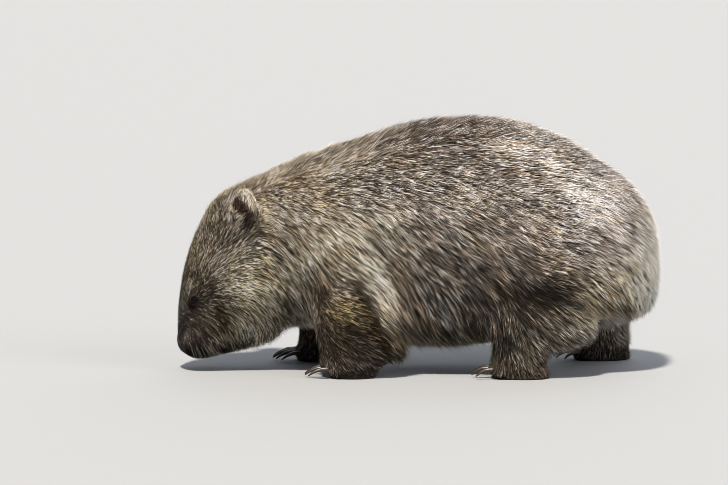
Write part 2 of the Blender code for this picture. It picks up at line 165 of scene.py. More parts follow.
def evened(values, edges, rounds, strength=0.5):
    """Values of points drawn towards the mean of their neighbours', round after round."""
    here = np.concatenate((edges[:, 0], edges[:, 1]))
    there = np.concatenate((edges[:, 1], edges[:, 0]))
    table = values.reshape(len(values), -1)
    share = 1 / np.maximum(np.bincount(here, minlength=len(table)), 1)[:, None]
    for _ in range(rounds):
        table = table + strength * (tally(here, table[there], len(table)) * share - table)
    return table.reshape(values.shape)


# %% [markdown]
# Blender takes a whole table at once through foreach_set, as one flat list, and gives it back
# through foreach_get. A lathe's faces serve each round shape here: eyeball, nose pad and whisker.
# A finished piece is handed over to the frame in one call.

# %% From tables to objects and back
def make_object(name, points, faces):
    """A smooth-shaded object from a table of points and one of triangles or quads."""
    mesh = bpy.data.meshes.new(name)
    mesh.vertices.add(len(points))
    mesh.vertices.foreach_set("co", np.ascontiguousarray(points, np.float32).ravel())
    mesh.loops.add(faces.size)
    mesh.loops.foreach_set("vertex_index", np.ascontiguousarray(faces, np.int32).ravel())
    mesh.polygons.add(len(faces))
    mesh.polygons.foreach_set("loop_start",
                              np.arange(0, faces.size, faces.shape[1], dtype=np.int32))
    mesh.polygons.foreach_set("use_smooth", np.ones(len(faces), bool))
    mesh.update(calc_edges=True)
    made = bpy.data.objects.new(name, mesh)
    bpy.context.scene.collection.objects.link(made)
    return made


def mesh_tables(mesh, corners):
    """The points of a mesh, and its faces, which all have the same number of corners."""
    points, faces = (np.empty((len(mesh.vertices), 3), np.float32),
                     np.empty(len(mesh.loops), np.int32))
    mesh.vertices.foreach_get("co", points.ravel())
    mesh.loops.foreach_get("vertex_index", faces)
    return points.astype(float), faces.reshape(-1, corners)


def lathe_faces(rows, columns):
    """Triangles for a pole, rows of points each in a closed round of columns, and another pole."""
    first = 1 + np.arange(rows - 1)[:, None] * columns + np.arange(columns)
    beside = 1 + np.arange(rows - 1)[:, None] * columns + (np.arange(columns) + 1) % columns
    quads = np.stack((first, beside, beside + columns, first + columns), axis=-1).reshape(-1, 4)
    ring, turned = 1 + np.arange(columns), 1 + (np.arange(columns) + 1) % columns
    last = (rows - 1) * columns
    start = np.stack((np.zeros_like(ring), turned, ring), axis=-1)
    end = np.stack((np.full_like(ring, 1 + rows * columns), ring + last, turned + last), axis=-1)
    return np.concatenate((start, triangles_of(quads), end))


def outward(points, faces):
    """The faces, turned round if the volume that they enclose comes out negative."""
    a, b, c = (points[triangles_of(faces)[:, i]] for i in range(3))
    return faces if dots(np.cross(a, b), c).sum() > 0 else faces[:, ::-1]


def set_attribute(made, name, values):
    """A value for each point: one number, or a colour in linear red, green and blue."""
    kind, field = ("FLOAT", "value") if values.ndim == 1 else ("FLOAT_COLOR", "color")
    if values.ndim == 2:
        values = np.concatenate((values, np.ones((len(values), 1))), axis=1)
    layer = made.data.attributes.new(name, kind, "POINT")
    layer.data.foreach_set(field, np.ascontiguousarray(values, np.float32).ravel())


def hand_over(piece, slot, *nodes):
    """Puts a finished piece on the root and hides the nodes it stands for. The slot is not used."""
    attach(piece, "root")
    if nodes:
        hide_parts(*nodes)


# %% [markdown]
# ## The outer shape as one surface
#
# The solids of flesh are parted by thin cuts and made of flat facets. A real hide has neither. A
# boolean union would join them, but it would keep the facets and may fail where two solids almost
# touch. So copies are merged, grown by a hair to close the cuts, and cast together in voxels, which
# keep only the outside. The facets are then evened out, firmly on the trunk and hardly at all on
# ears and toes, which would melt away. The eyeballs are cast with the rest, so no socket is left.

# %% Cast the flesh as one surface
VOXEL = 2.45 * MM
CLOSING = 0.5 * MM  # grown by this, to bridge the cuts
QUAD = 4  # corners of a voxel's face; a CAD node's have 3


def merged_copy(node):
    """A CAD node's points and triangles with the doubles merged, where a loose triangle has its
    own."""
    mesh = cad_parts[node].data
    points, faces = mesh_tables(mesh, 3)
    _, first, same = np.unique(points.round(5), axis=0, return_index=True, return_inverse=True)
    faces = same.reshape(-1)[faces]
    whole = (faces != np.roll(faces, 1, axis=1)).all(axis=1)
    return points[first], faces[whole]


def cast_together(nodes):
    """One closed surface round all the nodes: grown, joined, and turned to voxels."""
    tables, start = [], 0
    for node in nodes:
        points, faces = merged_copy(node)
        tables.append((points + normals_of(points, faces) * CLOSING, faces + start))
        start += len(points)
    cast = make_object("cast", *(np.concatenate(column) for column in zip(*tables)))
    remesh = cast.modifiers.new("voxels", "REMESH")
    remesh.mode = "VOXEL"
    remesh.voxel_size = VOXEL
    shape = cast.evaluated_get(bpy.context.evaluated_depsgraph_get()).to_mesh()
    points, faces = mesh_tables(shape, QUAD)
    bpy.data.objects.remove(cast)
    return points, faces


skin_points, skin_quads = cast_together((*FLESH, "eye_left", "eye_right"))
skin_edges = np.concatenate([skin_quads[:, (i, (i + 1) % QUAD)] for i in range(QUAD)])
skin_edges = np.sort(skin_edges, axis=1)
skin_edges = np.unique(skin_edges, axis=0)
print("cast", len(skin_points), "points", len(skin_quads), "quads")

# %% [markdown]
# Each point of the surface takes the name of the CAD node that it lies nearest to. The names say
# which points belong to an ear or a foot, and later which lock belongs to which piece of coat.

# %% Name the points and even out the facets
node_points = [merged_copy(node)[0] for node in FLESH]
node_numbers = np.repeat(np.arange(len(FLESH)), [len(points) for points in node_points])
skin_node = node_numbers[nearest(skin_points, np.concatenate(node_points))]


def on_nodes(*nodes):
    """True for the points of the surface that belong to these nodes."""
    return np.isin(skin_node, [FLESH.index(node) for node in nodes])


FIRM_ROUNDS, LIGHT_ROUNDS, BLEND_ROUNDS = 34, 5, 10
MUZZLE_STARTS = 50 * MM  # towards the nose from between the eyes
SOLE_HEIGHT = 1.5 * MM
muzzle = (in_head(skin_points)[:, 0] > MUZZLE_STARTS) & on_nodes("head")
delicate = on_nodes(*EARS, *FEET, "nose") | muzzle
firmness = evened(1.0 - delicate, skin_edges, BLEND_ROUNDS)[:, None]
sole = (skin_points[:, 2] < SOLE_HEIGHT)[:, None]
soft_points = evened(skin_points, skin_edges, LIGHT_ROUNDS)
firm_points = evened(soft_points, skin_edges, FIRM_ROUNDS)
outer_points = soft_points + firmness * (firm_points - soft_points)
outer_points = np.where(sole, skin_points, outer_points)
outer_points[:, 2] = np.maximum(outer_points[:, 2], 0.0)
outer_normals = normals_of(outer_points, skin_quads)
print("points on ears, feet and muzzle", int(delicate.sum()), "of", len(delicate))

# %% [markdown]
# ## The lie of the coat
#
# Hair grows from the nose up the face, over the crown and back along the body, and turns down over
# the flanks and legs. A groomer would describe it place by place, and so does this table: at each
# guide it says which way the hair lies in side view, how long it is, how deep the coat stands, and
# how wide a lock is. It could be combed by hand in the viewport instead, but a table can be read,
# compared and changed line by line.

# %% Guides to the lie of the coat
# Place (x, distance from the mid-plane, z) in millimetres; degrees below the horizontal, towards
# the tail; length, depth and lock width in millimetres.
BODY_GUIDES = (
    ((-170, 0, 320), 0, 17, 7.5, 0.66),  # nape
    ((-100, 0, 345), 0, 18, 7.5, 0.7),  # withers
    ((0, 0, 360), 0, 18, 7.5, 0.7),  # top of the back
    ((100, 0, 355), 0, 18, 7.5, 0.7),  # loin
    ((190, 0, 330), 5, 18, 7.5, 0.7),
    ((260, 0, 290), 25, 17, 7.5, 0.7),  # rump
    ((315, 0, 230), 60, 17, 7.5, 0.7),
    ((340, 0, 170), 80, 18, 8.0, 0.7),
    ((335, 0, 100), 88, 18, 8.0, 0.7),  # behind
    ((322, 70, 205), 45, 17, 7.5, 0.7),
    ((326, 70, 134), 70, 18, 8.0, 0.7),
    ((298, 100, 222), 36, 17, 7.5, 0.7),
    ((300, 100, 120), 62, 18, 7.5, 0.7),
    ((199, 140, 226), 21, 17, 7.5, 0.7),  # upper haunch
    ((250, 130, 160), 32, 17, 7.5, 0.7),
    ((199, 150, 150), 16, 17, 7.5, 0.7),  # lower haunch
    ((260, 120, 95), 45, 17, 7.0, 0.7),
    ((150, 120, 290), 14, 18, 7.5, 0.7),
    ((44, 120, 281), 25, 19, 7.5, 0.7),  # upper flank
    ((-60, 115, 270), 26, 19, 7.5, 0.7),
    ((120, 145, 200), 30, 19, 7.5, 0.7),
    ((44, 148, 190), 35, 20, 7.5, 0.7),  # mid flank
    ((-30, 140, 190), 40, 20, 7.5, 0.7),
    ((110, 148, 120), 42, 21, 7.5, 0.7),
    ((30, 135, 83), 55, 23, 8.0, 0.7),  # lower flank
    ((58, 100, 50), 60, 22, 8.0, 0.7),  # fringe under the belly
    ((0, 105, 50), 64, 22, 8.0, 0.7),
    ((-55, 140, 112), 64, 23, 8.5, 0.7),  # pale band behind the arm
    ((-69, 130, 169), 50, 21, 8.0, 0.7),
    ((-36, 130, 80), 64, 23, 8.5, 0.7),
    ((-20, 120, 60), 64, 24, 8.0, 0.7),
    ((80, 0, 34), 10, 20, 7.0, 0.7),  # belly
    ((-20, 0, 36), 10, 20, 7.0, 0.7),
    ((-196, 110, 180), 46, 19, 8.0, 0.66),  # neck
    ((-168, 100, 243), 26, 18, 7.5, 0.66),
    ((-205, 85, 240), 40, 15, 7.0, 0.61),
    ((-120, 100, 290), 15, 18, 7.5, 0.7),
    ((-144, 120, 163), 44, 19, 7.5, 0.66),  # shoulder
    ((-110, 130, 200), 34, 19, 7.5, 0.7),
    ((-90, 140, 125), 16, 17, 6.0, 0.66),  # back of the upper arm
    ((-190, 90, 110), 62, 18, 7.5, 0.66),  # side of the breast
    ((-190, 0, 80), 60, 16, 7.0, 0.66),  # breast
    ((-300, 0, 230), -70, 10, 5.0, 0.53),  # forehead
    ((-327, 0, 150), -72, 8, 4.0, 0.49),
    ((-255, 0, 285), -38, 13, 6.0, 0.57),  # crown
    ((-215, 0, 300), -15, 15, 7.0, 0.61),
    ((-262, 70, 205), -58, 10, 4.5, 0.49),  # before the ear
    ((-302, 60, 150), -56, 9, 4.0, 0.49),  # above the eye
    ((-274, 80, 172), -42, 10, 4.8, 0.53),
    ((-280, 80, 128), -18, 10, 4.8, 0.53),  # behind the eye
    ((-249, 90, 140), -6, 12, 6.0, 0.57),  # cheek
    ((-232, 92, 112), 16, 14, 6.5, 0.57),
    ((-224, 88, 80), 60, 15, 6.5, 0.57),
    ((-215, 90, 150), 38, 15, 7.0, 0.61),
    ((-249, 75, 48), 90, 20, 7.0, 0.57),  # jaw
    ((-240, 56, 36), 92, 21, 6.5, 0.55),
    ((-264, 58, 34), 95, 16, 5.5, 0.48),
    ((-230, 60, 50), 84, 21, 7.0, 0.57),
    ((-272, 72, 70), 34, 8, 4.0, 0.5),
    ((-288, 65, 85), -10, 7, 3.4, 0.45),  # below the eye
    ((-306, 50, 62), -10, 4, 2.2, 0.37),  # side of the muzzle
    ((-316, 44, 42), 60, 5, 2.0, 0.32),  # upper lip
    ((-300, 48, 36), 70, 6, 2.4, 0.34),
    ((-332, 30, 36), 100, 6, 2.0, 0.32),
    ((-284, 54, 40), 78, 7, 2.8, 0.4),
    ((-334, 0, 90), -74, 6, 2.8, 0.41),  # bridge of the nose
    ((-338, 20, 60), -72, 4, 2.0, 0.37),
    ((-300, 0, 18), 10, 5, 2.2, 0.37),  # chin
    ((-250, 0, 30), 20, 12, 5.0, 0.57),  # throat
)
# The same, with the place counted from the foot's own origin: towards the tail, outwards, up.
FORELEG_GUIDES = (
    ((-12, 38, 95), 8, 14, 6.0, 0.66),  # upper arm
    ((-35, 34, 85), 12, 13, 6.0, 0.61),
    ((12, 38, 70), 6, 14, 6.0, 0.66),
    ((-27, 30, 45), 26, 11, 4.8, 0.57),  # forearm
    ((34, 34, 52), 6, 15, 6.0, 0.66),  # elbow
    ((-54, 0, 60), 76, 11, 4.5, 0.57),
    ((0, -30, 60), 70, 11, 5.0, 0.61),
    ((-35, 0, 20), 150, 6, 2.2, 0.45),  # top of the paw
    ((20, 20, 18), 60, 8, 3.0, 0.49),
)
HINDLEG_GUIDES = (
    ((31, 34, 85), 33, 17, 7.0, 0.66),  # thigh
    ((-26, 34, 58), 80, 20, 6.5, 0.66),  # front of the shank
    ((-40, 10, 75), 76, 19, 6.0, 0.66),
    ((31, 30, 42), 42, 13, 5.5, 0.61),
    ((80, 20, 70), 36, 16, 6.0, 0.66),
    ((0, -35, 60), 75, 13, 5.5, 0.61),
    ((-35, 0, 20), 150, 7, 2.2, 0.45),  # top of the foot
    ((20, 20, 18), 60, 8, 3.0, 0.49),
)


# %% [markdown]
# A point takes the mean of the guides, weighted by a Gaussian of their distance, so that the
# directions turn smoothly. Guides are mirrored, and a leg's move with its foot.

# %% Mean of the guides at each point
REACH = 26 * MM  # of a guide


def guide_tables():
    """All guides on both sides: their places, the directions of the hair, and its measures."""
    places, angles, measures = [], [], []
    for word, side in SIDES:
        groups = ((np.array((0, MID_Y, 0)), BODY_GUIDES),
                  (foot_origin(f"forepaw_{word}"), FORELEG_GUIDES),
                  (foot_origin(f"hindfoot_{word}"), HINDLEG_GUIDES))
        for origin, guides in groups:
            for place, angle, *measure in guides:
                places.append(origin + np.array(place) * (1, side, 1) * MM)
                angles.append(math.radians(angle))
                measures.append(measure)
    angles = np.array(angles)
    flows = np.stack((np.cos(angles), np.zeros_like(angles), -np.sin(angles)), axis=1)
    return np.array(places), flows, np.array(measures) * MM


guide_places, guide_flows, guide_measures = guide_tables()
apart = ((outer_points[:, None] - guide_places) ** 2).sum(axis=2)
pull = np.exp(-(apart - apart.min(axis=1, keepdims=True)) / (2 * REACH**2))
pull /= pull.sum(axis=1, keepdims=True)
flow, measures = pull @ guide_flows, pull @ guide_measures
print(len(guide_places), "guides")

# %% [markdown]
# Three places have a rule of their own. On an ear the hair is short and runs from root to tip. The
# nose and the soles are bare. Round each eye it starts short and parts away from the lids.
#
# Where hair that points straight down comes to an edge, such as the jaw's, it hangs past it as a
# fringe: it keeps a share of its direction away from the surface.

# %% Ears, bare skin and the parting round the eyes
HANGING_SHARE = 0.45
EAR_SPLAY = 0.35  # how far its hair leans outwards
EAR_HAIR = np.array((7.5, 1.6, 0.5)) * MM  # length, depth, width of a lock
EAR_FRINGE = np.array((10.0, 3.0, 0.0)) * MM  # added before the ear, whose front edge it covers
EAR_FRINGE_REACH = 14 * MM
BARE_MUZZLE = np.array((-0.314, 0.042, 0.045))  # thinly haired skin beside the nostrils
BARE_MUZZLE_RADII = np.array((0.022, 0.025, 0.013))
BARE_ROUND_EYE, PARTED_ROUND_EYE = (9 * MM, 11 * MM), (9 * MM, 15 * MM)  # fading between these
PARTED, SHORTENED = 0.85, 0.45  # how far the hair there turns away, how much of it is cut off
for word, side in SIDES:
    ear = f"ear_{word}"
    low, high = box_of(ear)
    upwards = smoothstep(0.1, 0.5, (outer_points[:, 2] - low[2]) / (high - low)[2]) * on_nodes(ear)
    flow += upwards[:, None] * (unit(np.array((0.0, side * EAR_SPLAY, 1.0))) - flow)
    measures += upwards[:, None] * (EAR_HAIR - measures)
    before_ear = np.array((low[0] + 2 * MM, middle_of(ear)[1], low[2] + 2 * MM))
    apart = ((outer_points - before_ear) ** 2).sum(axis=1)
    near = np.exp(-apart / EAR_FRINGE_REACH**2) * ~on_nodes(ear)
    measures += near[:, None] * EAR_FRINGE
measures = evened(measures, skin_edges, 4)
bare = (on_nodes("nose")
        | ((outer_points[:, 2] < 2 * MM) & (outer_normals[:, 2] < -0.5))).astype(float)
away = outer_points - (0, MID_Y, 0)
away = np.stack((away[:, 0], np.abs(away[:, 1]), away[:, 2]), axis=1) - BARE_MUZZLE
muzzle_skin = np.exp(-((away / BARE_MUZZLE_RADII) ** 2).sum(axis=1))
bare = evened(np.maximum(bare, 0.9 * muzzle_skin), skin_edges, 2)
for eye in EYEBALLS.values():
    away = outer_points - eye
    distance = np.linalg.norm(away, axis=1)
    near = 1 - smoothstep(*PARTED_ROUND_EYE, distance)[:, None]
    flow = flow * (1 - PARTED * near) + PARTED * near * unit(away)
    measures = measures * (1 - SHORTENED * near)
    bare = np.maximum(bare, 1 - smoothstep(*BARE_ROUND_EYE, distance))
standing_off = np.clip(dots(unit(flow), outer_normals), 0, 1)[:, 0] * ~on_nodes(*EARS, *FEET)
flow = unit(flow - outer_normals * dots(flow, outer_normals))
flow = evened(flow, skin_edges, 6)
flow = unit(flow - outer_normals * dots(flow, outer_normals))
hair_length, coat_depth, lock_width = measures.T
hang = HANGING_SHARE * evened(standing_off * (1 - bare), skin_edges, 3)
coat_depth = evened(coat_depth * (1 - bare), skin_edges, 6)
print("coat depth", coat_depth.min().round(5), "to", coat_depth.max().round(5))

# %% [markdown]
# ## The skin
#
# The skin is the outer surface moved inwards by the depth of the coat. A Displace modifier could
# move it too, but the locks need the moved points, so it is done here. Near each eye the skin then
# rises in a low mound, which seats the eyeball and its lids. The voxels leave more triangles than a
# smooth hide needs, and a modifier merges them where it is flattest.

# %% Move the surface inwards to make the skin
EYE_RADIUS = 8.5 * MM
EYE_LOOKS = {word: unit(TO_FOREHEAD * 0.18 - TO_NOSE * 0.08 + TO_RIGHT * side * 0.98)
             for word, side in SIDES}
LID_OPENING = 42  # degrees from the line of sight to the edge of the lids
MOUND_TOP, MOUND_FOOT = 7.4 * MM, 3.0 * MM  # above the eyeball's middle
MOUND_LEVEL, MOUND_WIDTH, MOUND_REACH = 5.5 * MM, 5.0 * MM, 15 * MM  # off the line of sight
SUNK_BELOW_EYE = 1.5 * MM
SKIN_BUDGET = 190000  # triangles


def seat_eye(points, eye, looks):
    """Skin near an eye rises in a low mound to the lids: a Gaussian of the distance from the line
    of sight. Within the opening it stays inside the eyeball, out of sight."""
    away = points - eye
    height = dots(away, looks)
    aside = away - looks * height
    off = np.linalg.norm(aside, axis=1, keepdims=True)
    beyond = (off - MOUND_LEVEL).clip(0) / MOUND_WIDTH
    mound = MOUND_FOOT + (MOUND_TOP - MOUND_FOOT) * np.exp(-(beyond**2))
    lifted = eye + aside + looks * np.maximum(height, mound)
    distance = np.linalg.norm(away, axis=1, keepdims=True)
    sunk = eye + unit(away) * np.minimum(distance, EYE_RADIUS - SUNK_BELOW_EYE)
    near = (height > -2 * MM) & (off < MOUND_REACH)
    open_part = near & (off < EYE_RADIUS * math.sin(math.radians(LID_OPENING)))
    return np.where(open_part, sunk, np.where(near, lifted, points))


skin_points = outer_points - outer_normals * coat_depth[:, None]
skin_points[:, 2] = np.maximum(skin_points[:, 2], 0.0)
for word, eye in EYEBALLS.items():
    skin_points = seat_eye(skin_points, eye, EYE_LOOKS[word])
skin_normals = normals_of(skin_points, skin_quads)
skin = make_object("skin", skin_points, skin_quads)
lighter = skin.modifiers.new("lighter", "DECIMATE")
lighter.ratio = SKIN_BUDGET / (2 * len(skin_quads))
print("skin", 2 * len(skin_quads), "triangles, brought down to", SKIN_BUDGET)

# %% [markdown]
# ## Markings
#
# A wombat's coat is agouti: each hair is dark at its root, pale in a band, and dark again at its
# tip. What differs from place to place is the band's colour. It could be painted on an unwrapped
# skin, but that takes an image. This list names the places instead, each a soft ellipsoid that lays
# its colour over those before it, and skin and coat take their colour from it alike. Some of the
# marks are painted shade, painted shadow or a painted highlight, and their comments say so.

# %% Markings
def linear(code):
    """An sRGB hex colour as linear red, green and blue."""
    values = np.array([int(code[i:i + 2], 16) for i in (1, 3, 5)]) / 255
    return np.where(values <= 0.04045, values / 12.92, ((values + 0.055) / 1.055) ** 2.4)


GREY_BROWN = "#a69c92"
# Centre (x, distance from the mid-plane, z) and radii in millimetres, colour of the band, strength.
BODY_MARKINGS = (
    ((40, 0, 340), (200, 110, 60), "#786d65", 1.0),  # back
    ((-150, 60, 290), (80, 100, 60), "#cdbda3", 0.9),  # nape
    ((-125, 0, 330), (60, 45, 26), "#786e5e", 0.95),  # crest of the neck
    ((30, 110, 262), (75, 70, 30), "#c1b6a8", 0.8),  # upper flank
    ((-125, 120, 195), (75, 80, 45), "#f6e8c9", 0.95),  # shoulder
    ((50, 150, 170), (90, 70, 60), "#796f65", 0.85),  # mid flank
    ((50, 120, 60), (110, 70, 36), "#544a3c", 0.93),  # painted shade on the lower flank
    ((40, 100, 36), (80, 60, 13), "#a79e65", 0.8),  # belly's edge
    ((236, 110, 254), (50, 70, 42), "#ede5df", 1.0),  # pale patch on the rump, with painted sheen
    ((145, 60, 312), (55, 90, 50), "#d7cbc0", 0.8),  # loin
    ((270, 120, 120), (60, 60, 35), "#e8d9b4", 0.9),  # under the rump
    ((285, 110, 102), (45, 80, 16), "#6b6453", 0.8),  # fringe of the rump
    ((335, 60, 150), (35, 80, 80), "#fff4de", 1.15),  # rear edge: pale hair, plus painted light
    ((175, 150, 185), (60, 60, 36), "#cbbeb0", 0.8),  # haunch
    ((160, 150, 124), (72, 70, 32), "#28221b", 1.1),  # painted shade in the crease over the thigh
    ((-150, 120, 134), (28, 60, 20), "#5b4c36", 0.85),  # painted shade on the side of the breast
    ((-88, 140, 186), (14, 60, 22), "#fff2d8", 1.0),  # pale band behind the arm
    ((-78, 140, 162), (16, 60, 24), "#fff4dc", 1.8),
    ((-68, 140, 134), (15, 60, 22), "#fff4dc", 2.0),
    ((-56, 140, 102), (11, 60, 22), "#fff2d8", 1.5),
    ((-39, 130, 72), (11, 60, 20), "#887d68", 1.0),
    ((-28, 130, 52), (11, 60, 14), "#5f5644", 0.9),
    ((-99, 140, 134), (10, 60, 22), "#2a2114", 0.9),  # shaded back of the arm
    ((-86, 140, 108), (12, 60, 22), "#1a140b", 1.4),
    ((-70, 140, 78), (11, 60, 20), "#1a140b", 1.4),
    ((-54, 130, 50), (12, 60, 20), "#1a140b", 1.2),
    ((-24, 120, 20), (36, 60, 18), "#13100b", 0.95),  # painted shadow below the elbow
    ((-196, 110, 175), (40, 60, 45), "#847b68", 0.8),  # neck
    ((-240, 90, 125), (40, 60, 40), "#fbf1cc", 0.95),  # cheek
    ((-222, 90, 155), (11, 60, 40), "#a68f66", 0.7),  # behind the cheek
    ((-205, 95, 90), (25, 60, 22), "#5f5745", 0.7),  # painted shade on the side of the throat
    ((-208, 100, 171), (7, 40, 9), "#1f1912", 0.9),  # painted shadow under the cheek's ruff
    ((-250, 80, 72), (40, 60, 20), "#d5cab2", 0.95),  # jaw
    ((-252, 60, 42), (24, 50, 14), "#353024", 1.2),  # painted shadow under the jaw
    ((-284, 80, 92), (6, 30, 7), "#17120d", 1.6),  # painted shade in a parting on the cheek
    ((-290, 0, 230), (50, 70, 70), "#897b5d", 0.97),  # forehead
    ((-320, 30, 130), (30, 60, 60), "#90836c", 0.97),  # face
    ((-334, 0, 135), (12, 60, 50), "#4c4338", 1.0),  # bridge of the nose
    ((-228, 85, 232), (9, 40, 24), "#f2dfb8", 0.95),  # behind the ear
    ((-268, 68, 232), (12, 40, 22), "#d9cfc2", 1.0),  # before the ear
    ((-247, 70, 211), (10, 30, 13), "#43352e", 1.1),  # foot of the ear's hollow
    ((-290, 65, 78), (25, 40, 20), "#565040", 0.87),  # below the eye
    ((-290, 60, 66), (14, 40, 12), "#8e8369", 0.8),  # speckled side of the muzzle
    ((-315, 30, 40), (34, 60, 35), "#1e1913", 0.98),  # muzzle: dark hair and painted shade
    ((-274, 55, 32), (10, 40, 8), "#0d0a08", 1.8),  # corner of the mouth, darkened by painted shade
    ((-314, 45, 28), (22, 50, 12), "#0a0806", 1.5),  # lips: dark skin and painted shade
    ((-326, 40, 117), (6, 20, 8), "#dfd3be", 0.9),  # pale streak above the eye
    ((-327, 40, 50), (6, 20, 7), "#af9d93", 1.0),  # painted highlight on the bare skin of the muzzle
    ((-323.5, 50, 94), (5, 20, 6), "#0e0b09", 0.95),  # inner corner of the eye
    ((-319, 50, 97), (7.5, 20, 10.5), "#0e0b08", 1.0),  # dark skin round the eye
)
LEG_MARKINGS = {
    "forepaw": (((-10, 40, 80), (50, 60, 50), "#57482e", 0.92),  # upper arm
                ((-22, 40, 100), (26, 60, 16), "#ae9e76", 0.9),  # its golden cap
                ((-10, 0, 45), (60, 70, 30), "#564937", 0.95),  # forearm
                ((0, 0, 0), (80, 80, 26), "#0a0806", 0.97)),  # paw, in painted shade
    "hindfoot": (((20, 30, 80), (50, 60, 30), "#7a7365", 0.85),  # thigh
                 ((-30, 30, 55), (30, 60, 40), "#474542", 0.9),  # front of the shank
                 ((-4, 35, 46), (13, 60, 22), "#aba69d", 0.5),  # grizzled shin
                 ((0, 0, 0), (80, 80, 22), "#26211b", 0.95)),  # foot
}

# %% [markdown]
# No place has one flat colour. Streaks along the hair and broad clouds make it lighter or darker,
# warmer or cooler. The noise is worked out here and not by a texture node, because a whole lock
# takes one value, the one at its root.

# %% Lay the marks over each other
STREAK_CELL, WARM_CELL, LIGHT_CELL = 9 * MM, 34 * MM, 30 * MM
WARMER = np.array((0.10, 0.0, -0.15))
LATTICE_PRIMES = np.array((73856093, 19349663, 83492791))


def value_noise(points, cell, seed):
    """Smooth noise from 0 to 1: random numbers on a lattice, blended by smoothstep between them."""
    place = points / cell
    low = np.floor(place).astype(np.int64)
    t = place - low
    t = t * t * (3 - 2 * t)
    total = np.zeros(len(points))
    for corner in np.ndindex(2, 2, 2):
        key = (low + corner) @ LATTICE_PRIMES + seed * 1013
        key = (key ^ (key >> 13)) * 1274126177 & 0xFFFFFFFF
        share = np.prod(np.where(corner, t, 1 - t), axis=1)
        total += share * ((key ^ (key >> 16)) & 0xFFFF) / 0xFFFF
    return total


def lay_over(colour, points, origin, side, marks):
    """Blends each mark's colour in, by its strength and a Gaussian of the distance in its radii. A
    strength above 1 gives it a flat middle and a firmer edge."""
    for centre, radii, code, strength in marks:
        away = (points - origin - np.array(centre) * (1, side, 1) * MM) / (np.array(radii) * MM)
        share = np.minimum(strength * np.exp(-(away**2).sum(axis=1)), 1)[:, None]
        colour = colour * (1 - share) + linear(code) * share
    return colour


def streaked_noise(points, lie, cell, seed):
    """Noise drawn out along the hair: the mean of nine values, half a cell apart along its lie."""
    steps = np.linspace(-2, 2, 9) * cell
    return np.mean([value_noise(points + lie * step, cell, seed) for step in steps], axis=0)


def markings(points, lie):
    """The colour of the hair's pale band at each point, in patches drawn out along the hair,
    lighter and darker, warmer and cooler: each a sum of noises less its mean."""
    colour = np.tile(linear(GREY_BROWN), (len(points), 1))
    for word, side in SIDES:
        half = (points[:, 1] - MID_Y) * side >= 0
        part = lay_over(colour[half], points[half], np.array((0, MID_Y, 0)), side, BODY_MARKINGS)
        for foot, marks in LEG_MARKINGS.items():
            part = lay_over(part, points[half], foot_origin(f"{foot}_{word}"), side, marks)
        colour[half] = part
    warm = value_noise(points, WARM_CELL, 1) + 2 * streaked_noise(points, lie, STREAK_CELL, 2) - 1.5
    light = (value_noise(points, LIGHT_CELL, 3)
             + 2.2 * streaked_noise(points, lie, STREAK_CELL, 4) - 1.6)
    return colour * np.exp(0.65 * light[:, None]) * (1 + warm[:, None] * WARMER)


# %% The skin's own colour
EAR_HOLLOW, EAR_RIM = linear("#50403a"), linear("#fbecd2")
# The hollow of the ear, in shares of the ear's box from front to back and up it.
HOLLOW_MIDDLE, HOLLOW_RADII, HOLLOW_LEAN = (0.415, 0.36), (0.24, 0.38), 0.5
skin_tint = markings(outer_points, flow)
for word, side in SIDES:
    low, high = box_of(f"ear_{word}")
    share = (outer_points - low) / (high - low)
    behind, above = share[:, 0] - HOLLOW_MIDDLE[0], share[:, 2] - HOLLOW_MIDDLE[1]
    leaning = (behind + HOLLOW_LEAN * above) / HOLLOW_RADII[0]
    hollow = np.minimum(1.8 * np.exp(-(leaning**2) - (above / HOLLOW_RADII[1]) ** 2), 1)
    hollow *= smoothstep(-0.1, 0.4, outer_normals @ (-0.5, side, 0))  # only where it faces outwards
    ear_tint = EAR_RIM + hollow[:, None] * (EAR_HOLLOW - EAR_RIM)
    upwards = smoothstep(0.05, 0.3, share[:, 2]) * on_nodes(f"ear_{word}")
    skin_tint += upwards[:, None] * (ear_tint - skin_tint)
print("mean band colour", skin_tint.mean(axis=0).round(3))

# %% [markdown]
# ## Materials
#
# One function makes a material, and one adds a node. Whatever is the same all over a surface is set
# on the shader itself, and only colour, roughness and bump are worked out by nodes. Images could
# carry the patterns, but one worked out from a size in millimetres is sharp from any distance.

# %% Material tools
def add_node(material, kind, settings=None, inputs=None):
    """Adds a node. An input that is given a socket is linked to it, and any other value is set."""
    made = material.node_tree.nodes.new(kind)
    for name, value in (settings or {}).items():
        setattr(made, name, value)
    for name, value in (inputs or {}).items():
        if isinstance(value, bpy.types.NodeSocket):
            material.node_tree.links.new(value, made.inputs[name])
        else:
            made.inputs[name].default_value = value
    return made


def new_material(name, **finish):
    """A material with its Principled shader, whose sockets are set by their names in lower case."""
    material = bpy.data.materials.new(name)
    material.use_nodes = True
    shader = material.node_tree.nodes["Principled BSDF"]
    sockets = {socket.name.lower().replace(" ", "_"): socket for socket in shader.inputs}
    for socket, value in finish.items():
        sockets[socket].default_value = value
    return material, shader


def feed(material, shader, outputs):
    """Links nodes' outputs to the shader's sockets, by the sockets' names."""
    for socket, output in outputs.items():
        material.node_tree.links.new(output, shader.inputs[socket])


FACTOR, COLOUR_A, COLOUR_B, MIXED = 0, 6, 7, 2  # a Mix node's sockets for colours
BLEND, MULTIPLY = dict(data_type="RGBA"), dict(data_type="RGBA", blend_type="MULTIPLY")
SMOOTH = dict(interpolation_type="SMOOTHSTEP")


def rgba(code):
    """A hex colour as a socket takes it."""
    return (*linear(code), 1.0)


